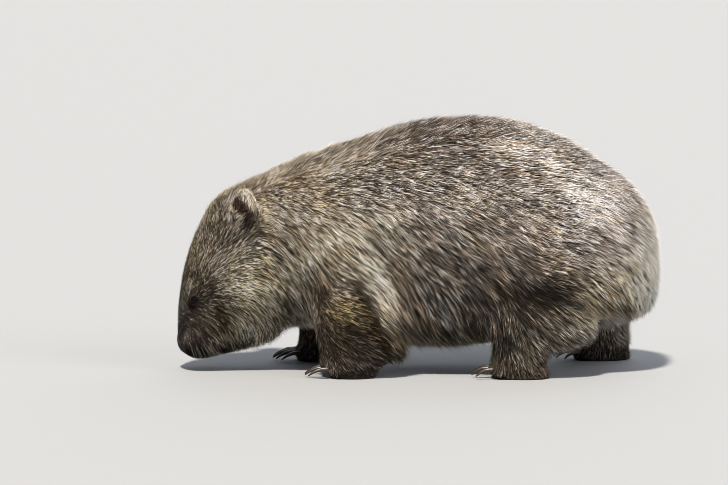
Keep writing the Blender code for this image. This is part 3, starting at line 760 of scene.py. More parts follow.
def lay_grain(material, shader, grain, low, high, strength, depth):
    """Colours a surface by a pattern, from low parts to high ones, and raises it by the same."""
    colour = add_node(material, "ShaderNodeMix", BLEND,
                      {FACTOR: grain, COLOUR_A: rgba(low), COLOUR_B: rgba(high)})
    bump = add_node(material, "ShaderNodeBump", None,
                    {"Strength": strength, "Distance": depth, "Height": grain})
    feed(material, shader, {"Base Color": colour.outputs[MIXED], "Normal": bump.outputs["Normal"]})


# %% [markdown]
# ### Hide and fur
#
# Hide: tanned-looking skin, matt, finely pebbled, darker and warmer than the coat. It shows between
# locks, on the soles and round the nose. Fur: keratin, IOR 1.55, but so fine that it scatters the
# light and has hardly any gloss of its own. A lock is too thin for a pattern in space, so four
# attributes say how it is coloured. `along`, from 0 at the root to 1 at the tip, places the pale
# band, `tint` is its colour, and `grizzle` is how much of it is left at the tip. `ridge` rises
# along the lock's back and is 0 along its sides, which are darkened as painted shade, the shade
# that falls into the partings between hairs.

# %% Hide
def hide_material():
    """Matt skin, mottled every 4 mm, with pebbles of half a millimetre, drawn at 0.9 mm so that
    they show."""
    mottle_size, pebble_size = MM / 0.26, MM / 1.1
    material, shader = new_material("pebbled_hide", roughness=0.6, specular_ior_level=0.05)
    place = add_node(material, "ShaderNodeTexCoord").outputs["Object"]
    tint = add_node(material, "ShaderNodeAttribute", dict(attribute_name="tint")).outputs["Color"]
    mottle = add_node(material, "ShaderNodeTexNoise", None,
                      {"Vector": place, "Scale": 1 / mottle_size, "Detail": 3.0})
    pebbles = add_node(material, "ShaderNodeTexVoronoi", None,
                       {"Vector": place, "Scale": 1 / pebble_size})
    ramp = add_node(material, "ShaderNodeMapRange", None,
                    {"Value": mottle.outputs["Fac"], "To Min": 0.75, "To Max": 1.15})
    colour = add_node(material, "ShaderNodeMix", MULTIPLY,
                      {FACTOR: 1.0, COLOUR_A: tint, COLOUR_B: ramp.outputs["Result"]})
    bump = add_node(material, "ShaderNodeBump", None,
                    {"Strength": 0.35, "Distance": 0.4 * MM, "Height": pebbles.outputs["Distance"]})
    feed(material, shader, {"Base Color": colour.outputs[MIXED], "Normal": bump.outputs["Normal"]})
    return material


# %% Fur
def fur_material():
    """Banded hair: warm dark brown at the root, pale between, and dark again at some of the tips.
    Along the lock's sides it is darker, as painted shade."""
    material, shader = new_material("agouti_fur", roughness=0.5, ior=1.55, specular_ior_level=0.05)
    read = {name: add_node(material, "ShaderNodeAttribute", dict(attribute_name=name))
            for name in ("along", "tint", "grizzle", "ridge")}
    along, tint = read["along"].outputs["Fac"], read["tint"].outputs["Color"]
    band = add_node(material, "ShaderNodeMapRange", SMOOTH,
                    {"Value": along, "From Min": 0.30, "From Max": 0.78,
                     "To Min": 0.0, "To Max": 1.0})
    tip = add_node(material, "ShaderNodeMapRange", SMOOTH,
                   {"Value": along, "From Min": 0.82, "From Max": 1.0, "To Min": 1.0,
                    "To Max": read["grizzle"].outputs["Fac"]})
    # Painted shade: the lock's sides are darker than its back.
    side = add_node(material, "ShaderNodeMapRange", None,
                    {"Value": read["ridge"].outputs["Fac"], "To Min": 0.45, "To Max": 1.0})
    paleness = add_node(material, "ShaderNodeMath", dict(operation="MULTIPLY"),
                        {0: band.outputs["Result"], 1: tip.outputs["Result"]})
    paleness = add_node(material, "ShaderNodeMath", dict(operation="MULTIPLY"),
                        {0: paleness.outputs["Value"], 1: side.outputs["Result"]})
    root = add_node(material, "ShaderNodeMix", MULTIPLY,
                    {FACTOR: 1.0, COLOUR_A: tint, COLOUR_B: rgba("#54412c")})
    colour = add_node(material, "ShaderNodeMix", BLEND,
                      {FACTOR: paleness.outputs["Value"], COLOUR_A: root.outputs[MIXED],
                       COLOUR_B: tint})
    feed(material, shader, {"Base Color": colour.outputs[MIXED]})
    return material


# %% Finish the skin
HIDE, FUR = hide_material(), fur_material()
# Under the coat the hide is in the dark: a trace of the coat's tint over half of a brown.
TINT_TRACE, HIDE_BROWN, MUZZLE_BROWN = 0.08, 0.5 * linear("#1b1411"), linear("#1f1715")
under_coat = skin_tint * TINT_TRACE + HIDE_BROWN
set_attribute(skin, "tint", under_coat + muzzle_skin[:, None] * (MUZZLE_BROWN - under_coat))
skin.data.materials.append(HIDE)
hand_over(skin, "coat", *FLESH)
print("materials", HIDE.name, FUR.name)

# %% [markdown]
# ## The coat
#
# Fur is often made as hair curves, which render well but leave nothing in a mesh file, or as cards
# that carry a picture of hair. Here each lock is a sliver of four points: its root in the skin, one
# on either side of its widest place, and its tip. A straight back from root to tip and a side
# falling away to the left and the right are enough for a shape about a millimetre wide at most, and
# four triangles keep hundreds of thousands of them affordable. Locks are scattered evenly by the
# area that each covers. The tip follows the surface: it drops by half the curvature times the
# length squared, and rises by the depth of the coat. Tips of neighbours are drawn together, as a
# dry coat's are.

# %% Curvature along the lie of the coat
def curvature_along(points, normals, flow, edges):
    """How the surface bends along the hair: the normals' difference over the length of the edges,
    each edge counted by the fourth power of its cosine with the flow."""
    here, there = np.concatenate((edges, edges[:, ::-1])).T
    edge = points[there] - points[here]
    length = np.linalg.norm(edge, axis=1, keepdims=True)
    bend = dots(normals[there] - normals[here], edge) / length**2
    weight = dots(edge / length, flow[here]) ** 4
    top, bottom = tally(here, np.hstack((bend * weight, weight)), len(points)).T
    return top / np.maximum(bottom, 1e-9)


bend = curvature_along(outer_points, outer_normals, flow, skin_edges)
bend = np.clip(evened(bend, skin_edges, 8), -30.0, 90.0) * ~on_nodes(*EARS)
print("bend", np.percentile(bend, (5, 50, 95)).round(1), "per metre")

# %% Scatter the roots
SKIN_TRIANGLES = triangles_of(skin_quads)
a, b, c = (skin_points[SKIN_TRIANGLES[:, i]] for i in range(3))
TRIANGLE_AREA = np.linalg.norm(np.cross(b - a, c - a), axis=1) / 2
measures = np.stack((hair_length, coat_depth, lock_width, bend, bare, hang), axis=1)
fields = np.concatenate((skin_points, outer_normals, flow, skin_tint, measures), axis=1)
LENGTH, DEPTH, WIDTH, BEND, BARE, HANG = range(12, 18)  # columns of the fields


def scatter(chosen, count, random):
    """Roots at random on the chosen triangles, dense where locks are small, none where it is bare.
    Returns the values of every field at each root, mixed from its triangle's corners."""
    corners = SKIN_TRIANGLES[chosen]
    length, width, naked = (fields[corners, i].mean(axis=1) for i in (LENGTH, WIDTH, BARE))
    weight = TRIANGLE_AREA[chosen] * np.clip(1 - naked, 0, 1) / (0.5 * length * width)
    picked = random.choice(len(corners), count, p=weight / weight.sum())
    u, v = np.sqrt(random.random(count)), random.random(count)
    shares = np.stack((1 - u, u * (1 - v), u * v), axis=1)
    print("locks lie", round(count / weight.sum(), 1), "deep")
    return (fields[corners[picked]] * shares[:, :, None]).sum(axis=1), chosen[picked]


# %% [markdown]
# Hairs keep together in strands, a few millimetres wide and several times as long, that share a
# direction, a height and a shade. So some locks are chosen as leaders, and each other lock joins
# the nearest one, where nearness counts six times less along the leader's hair than across it.
# Towards its tip a lock is drawn sideways into its strand, which leaves dark partings between. One
# lock in eight is a guard hair: finer, longer, and free of the strands.

# %% Draw the locks' paths
LOCKS_TO_STRAND = 6
STRAND_STRETCH = 6.0
STRAND_SWING, LOCK_SWING = 0.09, 0.11  # spread of the directions, in radians
STRAND_DRAW = (0.25, 0.65)  # how far the tips are drawn together, least and most
LENGTHS, WIDTHS = (0.75, 1.2), (0.65, 1.5)  # least and most, as shares of the guides'
GUARD_SHARE, GUARD_LENGTH, GUARD_WIDTH = 0.13, 1.25, 0.7
ROOT_DEPTH = 0.6 * MM
WIDEST = 0.5  # of the way from root to tip
SIDE_DROP = 0.35  # of a lock's width, by which its sides lie below its back
ROUNDNESS = 0.8  # how far the normal turns outwards at a lock's sides


def nearest_strand(root, leader, lie, block=4096):
    """The index of the nearest leader, the distance along its hair divided by the stretch."""
    origin = leader.mean(axis=0)
    leader, root = leader - origin, root - origin
    length, start = (leader**2).sum(axis=1), (leader * lie).sum(axis=1)
    found = []
    for part in np.array_split(root, len(root) // block + 1):
        squared = (part**2).sum(axis=1)[:, None] + length - 2 * part @ leader.T
        along = part @ lie.T - start
        found.append(np.argmin(squared - (1 - STRAND_STRETCH**-2) * along**2, axis=1))
    return np.concatenate(found)


def lock_paths(at, random):
    """Root, widest place and tip of each lock, half its width sideways, its strand, its height as a
    share of the coat's depth, and whether it is a guard hair."""
    count = len(at)
    root, normal, lie = at[:, 0:3], unit(at[:, 3:6]), at[:, 6:9]
    length, depth, width, bends, hangs = (at[:, i:i + 1]
                                          for i in (LENGTH, DEPTH, WIDTH, BEND, HANG))
    guard = random.random((count, 1)) < GUARD_SHARE
    lie = unit(lie - normal * dots(lie, normal))
    leaders = random.choice(count, max(count // LOCKS_TO_STRAND, 1), replace=False)
    strand = nearest_strand(root, root[leaders], lie[leaders])
    swing = (random.normal(0, STRAND_SWING, len(leaders))[strand]
             + random.normal(0, LOCK_SWING, count))
    lie = unit(lie + np.cross(lie, normal) * swing[:, None])
    across = np.cross(lie, normal)
    length = length * random.uniform(*LENGTHS, (count, 1)) * np.where(guard, GUARD_LENGTH, 1.0)
    lifted = (random.uniform(0.6, 1.0, len(leaders))[strand][:, None]
              * random.beta(2.4, 1.1, (count, 1)))
    lifted = np.where(guard, random.uniform(0.9, 1.4, (count, 1)), lifted)
    rise = depth * lifted
    drop = np.clip(bends * length, -0.6, 1.3) * length / 2 * (1 - hangs)

    root = root - normal * ROOT_DEPTH
    tip = (root + lie * length * np.sqrt(1 - hangs**2)
           + normal * (rise + ROOT_DEPTH - drop + length * hangs))
    draw = random.uniform(*STRAND_DRAW, len(leaders))[strand][:, None] * ~guard
    leader_root, leader_lie = root[leaders][strand], lie[leaders][strand]
    beside = tip - leader_root
    beside -= leader_lie * dots(beside, leader_lie) + normal * dots(beside, normal)
    tip -= beside * draw
    tip[:, 2] = np.maximum(tip[:, 2], 0.7 * MM)
    width = width * random.uniform(*WIDTHS, (count, 1)) * np.where(guard, GUARD_WIDTH, 1.0)
    middle = root + (tip - root) * WIDEST - normal * SIDE_DROP * width
    return root, middle, tip, across * width / 2, strand, lifted[:, 0], guard[:, 0]


# %% A lock's faces, its patch of the map, and its normals
# Points: root, left, right, tip. Faces: two above, which meet along the back, and two below.
LOCK_FACES = np.array(((0, 3, 1), (0, 2, 3), (0, 1, 2), (3, 2, 1)))
PATCH = 0.003  # of the map's width
MAP_MARGIN = 0.03
# Where each face's corners lie in the lock's patch, in thirds of it across and halves of it up.
PATCH_CORNERS = np.array(((1, 0), (1, 2), (0, 1), (1, 0), (2, 1), (1, 2),
                          (2, 0), (3, 1), (2, 1), (2, 2), (2, 1), (3, 1))) / (3, 2) - 0.5


def lock_normals(root, tip, sideways, normal):
    """A normal for each point of each lock. Hair scatters light to all sides, so half of it comes
    from the skin below, half from the lock's own back. It turns outwards at the lock's sides."""
    across = unit(sideways)
    own = unit(np.cross(tip - root, across))
    upright = unit(normal + own * np.sign(dots(own, normal)))
    ways = np.array((0.0, -ROUNDNESS, ROUNDNESS, 0.0))[:, None]
    return unit(upright[:, None] + across[:, None] * ways).reshape(-1, 3)


# %% [markdown]
# The colour bake needs a map of each piece. An automatic unwrap would lay the locks in no order.
# This one keeps the skin's own shape: a cylinder round the body, the head, each leg or each ear,
# cut open and laid flat, with each lock a tiny patch at the place of its root.

# %% Unwrap
def unwrap(points, axis):
    """Cylinder coordinates about an axis through the points' middle: length along it and angle,
    both stretched to fill 0 to 1."""
    axis = unit(np.array(axis, float))
    start = unit(np.cross(axis, (0.0, 1.0, 0.0) if abs(axis[1]) < 0.9 else (1.0, 0.0, 0.0)))
    middle = (points.min(axis=0) + points.max(axis=0)) / 2
    away = points - middle
    angle = np.arctan2(away @ np.cross(axis, start), away @ start)
    flat = np.stack((away @ axis, angle), axis=1)
    low, high = flat.min(axis=0), flat.max(axis=0)
    return (flat - low) / (high - low)


# %% [markdown]
# Each lock has a shade of its own, pale or dark like salt and pepper, and shares another with its
# strand. The deeper it lies in the coat, the darker it is: the underfur is darker, and the shade
# of the coat over it is painted in.

# %% Shade the locks and make a piece of coat
def pale_or_dark(lightness, random):
    """Shades for salt and pepper: some are pale and the rest dark, each with a spread. The lighter
    the coat is at a place, the more of them are pale, and the less do they stand out."""
    pale, dark = 2.4 - 1.15 * lightness, 0.45 + 0.22 * lightness
    shade = np.where(random.random(len(lightness)) < 0.2 + 0.4 * lightness, pale, dark)
    return shade * np.exp(random.normal(0, 0.2, len(lightness)))


def coat_piece(name, chosen, count, nodes, axis, seed, slot, glow, contrast):
    """Locks on the chosen triangles as one object, with its attributes, bake map and finish. Thin
    fuzz glows with the light from above, so its normals are turned upwards by that much. The
    contrast is a power on the locks' shades."""
    random = np.random.default_rng(seed)
    at, triangle = scatter(chosen, count, random)
    root, middle, tip, sideways, strand, lifted, guard = lock_paths(at, random)
    points = np.stack((root, middle - sideways, middle + sideways, tip), axis=1).reshape(-1, 3)
    faces = (np.arange(count)[:, None, None] * 4 + LOCK_FACES).reshape(-1, 3)
    made = make_object(name, points, faces)
    normals = lock_normals(root, tip, sideways, unit(at[:, 3:6] + (0, 0, glow)))
    made.data.normals_split_custom_set_from_vertices(normals)

    strands = strand.max() + 1
    lightness = at[:, 9:12].mean(axis=1)
    mean_lightness = np.bincount(strand, lightness) / np.bincount(strand)
    shade = pale_or_dark(mean_lightness, random)[strand] * pale_or_dark(lightness, random)
    shade **= contrast
    shade *= 0.12 + 0.98 * lifted  # darker underfur, and painted shade of the coat above
    warmth = random.normal(0, 1, strands)[strand][:, None] * 0.4 * WARMER
    tint = at[:, 9:12] * shade[:, None] * (1 + warmth)
    grizzle = np.where(guard, 0.9, random.beta(1.4, 1.2, count))
    set_attribute(made, "tint", np.repeat(np.clip(tint, 0, 1), 4, axis=0))
    set_attribute(made, "along", np.tile((0.0, WIDEST, WIDEST, 1.0), count))
    set_attribute(made, "grizzle", np.repeat(grizzle, 4))
    # ridge: 1 along the back, 0 at the sides, which the fur darkens as painted shade.
    set_attribute(made, "ridge", np.tile((0.3, 0.0, 0.0, 1.0), count))

    labels = skin_node[SKIN_TRIANGLES[triangle, 0]]
    islands = np.unique(labels)
    flat = np.empty((count, 2))
    for i, island in enumerate(islands):
        here = labels == island
        island_map = unwrap(root[here], axis) * (1 - 2 * MAP_MARGIN) + MAP_MARGIN
        flat[here] = (island_map + (i, 0)) / (len(islands), 1)
    uv = made.data.uv_layers.new(name="OFBake")
    corners = (flat[:, None] + PATCH_CORNERS * PATCH).reshape(-1, 2)
    uv.data.foreach_set("uv", np.ascontiguousarray(corners, np.float32).ravel())

    made.data.materials.append(FUR)
    hand_over(made, slot, *nodes)
    print(name, count, "locks", len(faces), "triangles")
    return made


# %% Lay the coat, piece by piece
HAUNCH_STARTS = 85 * MM
triangle_node = skin_node[SKIN_TRIANGLES[:, 0]]
triangle_middle = skin_points[SKIN_TRIANGLES].mean(axis=1)
right_half = triangle_middle[:, 1] > MID_Y
rear_half = triangle_middle[:, 0] > HAUNCH_STARTS


def part_of(*nodes):
    """True for the triangles of these nodes."""
    return np.isin(triangle_node, [FLESH.index(node) for node in nodes])


BACKWARDS, UPWARDS = (1, 0, 0), (0, 0, 1)
WHOLE, HALVES = {"": True}, {"_left": ~right_half, "_right": right_half}
body = part_of("trunk", "tail")
COAT = (  # name, triangles, how parted, locks in each part, nodes, axis of the unwrap, contrast
    ("coat_ribs", body & ~rear_half, HALVES, 42000, ("trunk",), BACKWARDS, 1.2),
    ("coat_haunch", body & rear_half, HALVES, 46500, ("trunk", "tail"), BACKWARDS, 0.95),
    ("coat_neck", part_of("neck"), WHOLE, 24000, ("neck",), BACKWARDS, 1.1),
    ("coat_head", part_of("head"), HALVES, 45000, ("head",), TO_NOSE, 1.0),
    ("coat_ears", part_of(*EARS), WHOLE, 10500, EARS, UPWARDS, 0.8),
    ("coat_forelegs", part_of(*FORELEGS), WHOLE, 27000, FORELEGS, UPWARDS, 0.7),
    ("coat_hindlegs", part_of(*HINDLEGS), WHOLE, 28500, HINDLEGS, UPWARDS, 0.8),
    ("coat_feet", part_of(*FEET), WHOLE, 16500, FEET, UPWARDS, 0.7),
)
EAR_GLOW = 1.6
seed = 11
for name, triangles, parts, count, nodes, axis, contrast in COAT:
    slot = "dark_coat" if name == "coat_feet" else "coat"
    glow = EAR_GLOW if name == "coat_ears" else 0.0
    for word, part in parts.items():
        chosen = np.flatnonzero(triangles & part)
        coat_piece(name + word, chosen, count, nodes, axis, seed, slot, glow, contrast)
        seed += 1

# %% [markdown]
# ## Eyes and lids
#
# A wombat's eye is small, dark and wet. A ready-made sphere has its poles above and below, away
# from the pupil. This ball is worked out in polar coordinates about the line of sight, which puts a
# pole in the middle of the pupil, with a low bulge for the cornea. Its colour goes by the angle
# from that line: black pupil, dark brown iris, darker rim. The lids are a ring of bare skin in the
# same coordinates: a closed profile carried round the eye, with two soft folds and a corner drawn
# out towards the nose.

# %% Eyeballs
CORNEA_BULGE, CORNEA_SPREAD = 1.0 * MM, 0.5  # height, and the angle it falls over, in radians


def eye_directions(looks):
    """Two directions across the line of sight: towards the nose, and the third at right angles."""
    to_corner = unit(TO_NOSE - looks * (TO_NOSE @ looks))
    return to_corner, np.cross(looks, to_corner)


def in_polar(turned, bearing, looks):
    """Unit vectors at an angle from the line of sight, on a bearing counted from the nose side."""
    to_corner, aside = eye_directions(looks)
    out = np.cos(bearing)[..., None] * to_corner + np.sin(bearing)[..., None] * aside
    return np.cos(turned)[..., None] * looks + np.sin(turned)[..., None] * out


def eyeball(word, rows=40, columns=64):
    """Radius = eye radius + the cornea's bulge times a Gaussian of the angle from the line of
    sight."""
    turned = np.linspace(0, np.pi, rows + 2)[1:-1, None] * np.ones(columns)
    bearing = np.linspace(0, 2 * np.pi, columns, endpoint=False) * np.ones((rows, 1))
    turned = np.concatenate(((0.0,), turned.ravel(), (np.pi,)))
    bearing = np.concatenate(((0.0,), bearing.ravel(), (0.0,)))
    radius = EYE_RADIUS + CORNEA_BULGE * np.exp(-(turned / CORNEA_SPREAD) ** 2)
    points = EYEBALLS[word] + in_polar(turned, bearing, EYE_LOOKS[word]) * radius[:, None]
    faces = outward(points - EYEBALLS[word], lathe_faces(rows, columns))
    made = make_object(f"eyeball_{word}", points, faces)
    set_attribute(made, "turned", np.degrees(turned))
    return made


# %% Cornea and iris
def eye_material():
    """Cornea over a dark iris: IOR 1.38, under a thin smooth film of tears with a faint glint."""
    material, shader = new_material("wet_cornea", roughness=0.3, ior=1.38, coat_weight=0.25,
                                    coat_roughness=0.06, specular_ior_level=0.0)
    turned = add_node(material, "ShaderNodeAttribute", dict(attribute_name="turned")).outputs["Fac"]
    place = add_node(material, "ShaderNodeMapRange", None, {"Value": turned, "From Max": 60.0})
    ramp = add_node(material, "ShaderNodeValToRGB", None, {"Fac": place.outputs["Result"]})
    stops = ((0.0, "#010101"), (0.24, "#010101"), (0.30, "#060403"), (0.52, "#080504"),
             (0.62, "#020101"))
    while len(ramp.color_ramp.elements) < len(stops):
        ramp.color_ramp.elements.new(0.5)
    for element, (position, code) in zip(ramp.color_ramp.elements, stops):
        element.position, element.color = position, rgba(code)
    feed(material, shader, {"Base Color": ramp.outputs["Color"]})
    return material


CORNEA = eye_material()
for word in EYES:
    ball = eyeball(word)
    ball.data.materials.append(CORNEA)
    hand_over(ball, "eye", f"eye_{word}")
print("eye looks", {word: looks.round(2) for word, looks in EYE_LOOKS.items()})

# %% Lids
# The lid's section: degrees out from the edge of the opening, millimetres above the eyeball. It
# starts at the wet edge, goes out over the folds and comes back inside the skin.
LID_PROFILE = ((0.0, 0.10), (0.3, 0.50), (1.5, 0.85), (3.5, 1.05), (6.0, 0.85), (8.5, 1.05),
               (12.0, 1.10), (15.0, 0.80), (18.5, 0.85), (24.0, 0.40), (34.0, -1.00),
               (28.0, -2.40), (16.0, -1.50), (4.0, -0.55), (1.0, -0.15))


def lid_ring(word, columns=120, steps=60):
    """The section carried round the eye. The opening is an oval drawn out at its corners, by 15
    degrees towards the nose and by 3 behind."""
    profile = np.array(LID_PROFILE + LID_PROFILE[:1])
    run = np.linspace(0, len(LID_PROFILE), steps, endpoint=False)
    out, high = (np.interp(run, np.arange(len(profile)), profile[:, i]) for i in (0, 1))
    bearing = np.linspace(0, 2 * np.pi, columns, endpoint=False)[:, None]
    corner = 15 * np.clip(np.cos(bearing), 0, 1) ** 10 + 3 * np.clip(-np.cos(bearing), 0, 1) ** 10
    edge = LID_OPENING - 3 + 3 * np.cos(bearing) ** 2 + corner
    crease = 0.12 * MM * np.sin(9 * bearing + 0.3 * out) * smoothstep(4, 14, out)
    turned, bearing = np.radians(edge + out), bearing * np.ones(steps)
    radius = EYE_RADIUS + high * MM + crease
    points = EYEBALLS[word] + in_polar(turned, bearing, EYE_LOOKS[word]) * radius[..., None]
    here = np.arange(columns)[:, None] * steps + np.arange(steps)
    faces = np.stack((here, np.roll(here, -1, axis=0), np.roll(here, (-1, -1), axis=(0, 1)),
                      np.roll(here, -1, axis=1)), axis=-1).reshape(-1, 4)
    points = points.reshape(-1, 3)
    return make_object(f"lids_{word}", points, outward(points - EYEBALLS[word], faces))


# %% Skin of the lids
def lid_material():
    """Bare dark skin, a little greasy, with creases two thirds of a millimetre apart."""
    crease_size = MM / 1.5
    material, shader = new_material("bare_lid_skin", roughness=0.55, specular_ior_level=0.15)
    place = add_node(material, "ShaderNodeTexCoord").outputs["Object"]
    grain = add_node(material, "ShaderNodeTexNoise", None,
                     {"Vector": place, "Scale": 1 / crease_size, "Detail": 4.0})
    lay_grain(material, shader, grain.outputs["Fac"], "#060505", "#15100d", 0.5, 0.3 * MM)
    return material


LID_SKIN = lid_material()
for word in EYES:
    ring = lid_ring(word)
    ring.data.materials.append(LID_SKIN)
    hand_over(ring, "nose_skin")
    print(ring.name, len(ring.data.polygons), "quads")

# %% [markdown]
# ## Nose
#
# The nose is a broad bare pad of black, grained leather, with two comma-shaped nostrils and a
# groove down its middle. Blackened skin would have neither pits nor an edge, so the pad is a piece
# of its own. It lies on the end of the muzzle, and its surface is read off the skin: at each place
# across and up the pad, the height of the skin there, as a mean weighted by a Gaussian of the
# distance. The pad swells from that height, sinks below the skin at its rim, and is closed behind.

# %% Nose pad
NOSE_FACES = unit(TO_NOSE * 0.85 + TO_FOREHEAD * 0.53)  # 32 degrees up from the nose's line
NOSE_UP = np.cross(TO_RIGHT, NOSE_FACES)
NOSE_UP = NOSE_UP * np.sign(NOSE_UP @ TO_FOREHEAD)
NOSE_MIDDLE = from_head(79 * MM, 5.5 * MM, 0.0)
PAD_HALF_WIDTH, PAD_HALF_HEIGHT, PAD_THICKNESS = 20.5 * MM, 14.5 * MM, 4 * MM
PAD_SWELL, RIM_SINKS = 1.5 * MM, 1.2 * MM
GROOVE_DEPTH, GROOVE_WIDTH = 0.9 * MM, 0.9 * MM
WING_HEIGHT, WING_PLACE, WING_WIDTH = 0.7 * MM, 1.55, 0.35  # the last two in radii of the nostril
SUPER = 2.5  # power of the superellipse that outlines the pad
# A nostril's path from its round opening to the end of its slit: aside, up, radius, depth.
NOSTRIL = np.array(((7.0, -4.0, 3.0, 5.5), (9.5, -4.6, 3.0, 5.5), (12.0, -3.4, 2.2, 4.0),
                    (14.2, -0.8, 1.5, 2.6), (15.4, 2.2, 1.1, 1.6))) * MM


def height_of_skin(places, reach=2.5 * MM):
    """The skin's height towards NOSE_FACES at places across and up the pad."""
    near = (in_head(skin_points)[:, 0] > 45 * MM) & (skin_normals @ NOSE_FACES > 0.05)
    away = skin_points[near] - NOSE_MIDDLE
    known = np.stack((away @ TO_RIGHT, away @ NOSE_UP), axis=1)
    apart = ((places[:, None] - known) ** 2).sum(axis=2)
    weight = np.exp(-(apart - apart.min(axis=1, keepdims=True)) / (2 * reach**2))
    return weight @ (away @ NOSE_FACES) / weight.sum(axis=1)


def nostrils(places):
    """How far the pad's surface sinks: a pit along each nostril's path, a raised wing round it."""
    run = np.linspace(0, len(NOSTRIL) - 1, 60)
    path = np.stack([np.interp(run, np.arange(len(NOSTRIL)), NOSTRIL[:, i]) for i in range(4)],
                    axis=1)
    mirrored = np.stack((np.abs(places[:, 0]), places[:, 1]), axis=1)
    apart = np.linalg.norm(mirrored[:, None] - path[:, :2], axis=2) / path[:, 2]
    pit = (path[:, 3] * np.exp(-apart**2.4)).max(axis=1)
    wing = WING_HEIGHT * np.exp(-((apart.min(axis=1) - WING_PLACE) / WING_WIDTH) ** 2)
    return pit - wing


def nose_pad(rows=44, columns=110):
    """Polar grid: places at radius r on a superellipse, narrower below, then closed behind."""
    bearing = np.linspace(0, 2 * np.pi, columns, endpoint=False)
    square = (np.abs(np.cos(bearing)) ** SUPER + np.abs(np.sin(bearing)) ** SUPER) ** (-1 / SUPER)
    radius = np.linspace(0, 1, rows + 1)[1:, None]
    up = PAD_HALF_HEIGHT * radius * square * np.sin(bearing)
    aside = PAD_HALF_WIDTH * radius * square * np.cos(bearing) * (1 + 0.10 * up / PAD_HALF_HEIGHT)
    places = np.concatenate((np.zeros((1, 2)), np.stack((aside, up), axis=-1).reshape(-1, 2)))
    ring = np.concatenate(((0.0,), np.repeat(radius[:, 0], columns)))
    swell = PAD_SWELL * (1 - ring**5) - RIM_SINKS * smoothstep(0.9, 1.0, ring)
    groove = GROOVE_DEPTH * np.exp(-(places[:, 0] / GROOVE_WIDTH) ** 2)
    groove *= smoothstep(4 * MM, -4 * MM, places[:, 1])  # only in the lower half
    height = height_of_skin(places) + swell - nostrils(places) - groove
    back_ring = places[-columns:] * 0.8
    back_height = height_of_skin(back_ring) - PAD_THICKNESS
    places = np.concatenate((places, back_ring, np.zeros((1, 2))))
    height = np.concatenate((height, back_height, (back_height.mean() - PAD_THICKNESS,)))
    points = NOSE_MIDDLE + places @ np.stack((TO_RIGHT, NOSE_UP)) + NOSE_FACES * height[:, None]
    return make_object("nose_pad", points,
                       outward(points - NOSE_MIDDLE, lathe_faces(rows + 1, columns)))


# %% Nose leather
def nose_material():
    """Black leather in polygonal grains of 0.8 mm, dry on top and damp in the grooves."""
    grain_size = 0.8 * MM
    material, shader = new_material("grained_nose_leather", specular_ior_level=0.2)
    place = add_node(material, "ShaderNodeTexCoord").outputs["Object"]
    grains = add_node(material, "ShaderNodeTexVoronoi", dict(feature="DISTANCE_TO_EDGE"),
                      {"Vector": place, "Scale": 1 / grain_size})
    raised = add_node(material, "ShaderNodeMapRange", SMOOTH,
                      {"Value": grains.outputs["Distance"], "From Max": 0.22})
    damp = add_node(material, "ShaderNodeMapRange", None,
                    {"Value": raised.outputs["Result"], "To Min": 0.25, "To Max": 0.5})
    lay_grain(material, shader, raised.outputs["Result"], "#070605", "#1a1513", 0.7, 0.4 * MM)
    feed(material, shader, {"Roughness": damp.outputs["Result"]})
    return material


pad = nose_pad()
pad.data.materials.append(nose_material())
hand_over(pad, "nose_skin", "nose")
print("nose pad", len(pad.data.polygons), "triangles")

# %% [markdown]
# ## Whiskers
#
# Stiff pale hairs stand in rows on the sides of the muzzle. Each could be a curve with a bevel, but
# a tube worked out point by point tapers and closes at both ends. It follows a path that sets out
# from the skin and droops: all paths are one table, and all tubes one mesh. A bristle is keratin
# like the fur, but thick and smooth enough for a narrow gloss.

# %% Where the whiskers stand
# Row by row: towards the nose, towards the forehead, from the line between the eyes, in
# millimetres; how many hairs, and their length.
WHISKER_ROWS = ((68, -14, 2, 22), (67, -20, 3, 26), (64, -27, 4, 28), (59, -34, 4, 26))
WHISKER_SPACING = 5.5 * MM
WHISKER_ASIDE = 46 * MM  # beyond the side of the muzzle, so that the nearest skin is its side
WHISKER_RADIUS, WHISKER_TAPER = 0.075 * MM, 0.85
WHISKER_DROOP = np.array((0.12, 0.0, -0.22))


def whisker_roots(random):
    """Each hair's root and length: rows along the muzzle, put on the nearest point of the skin."""
    roots, lengths = [], []
    for _, side in SIDES:
        for along, up, count, length in WHISKER_ROWS:
            step = np.arange(count) * WHISKER_SPACING
            roots.append(from_head(along * MM - step, up * MM + 0.12 * step, side * WHISKER_ASIDE))
            lengths.append(length * MM * (1 - 0.35 * step / (5 * WHISKER_SPACING)))
    roots = np.concatenate(roots) + random.normal(0, 0.6 * MM, (sum(map(len, roots)), 3))
    index = nearest(roots, skin_points)
    return skin_points[index], skin_normals[index], np.concatenate(lengths)


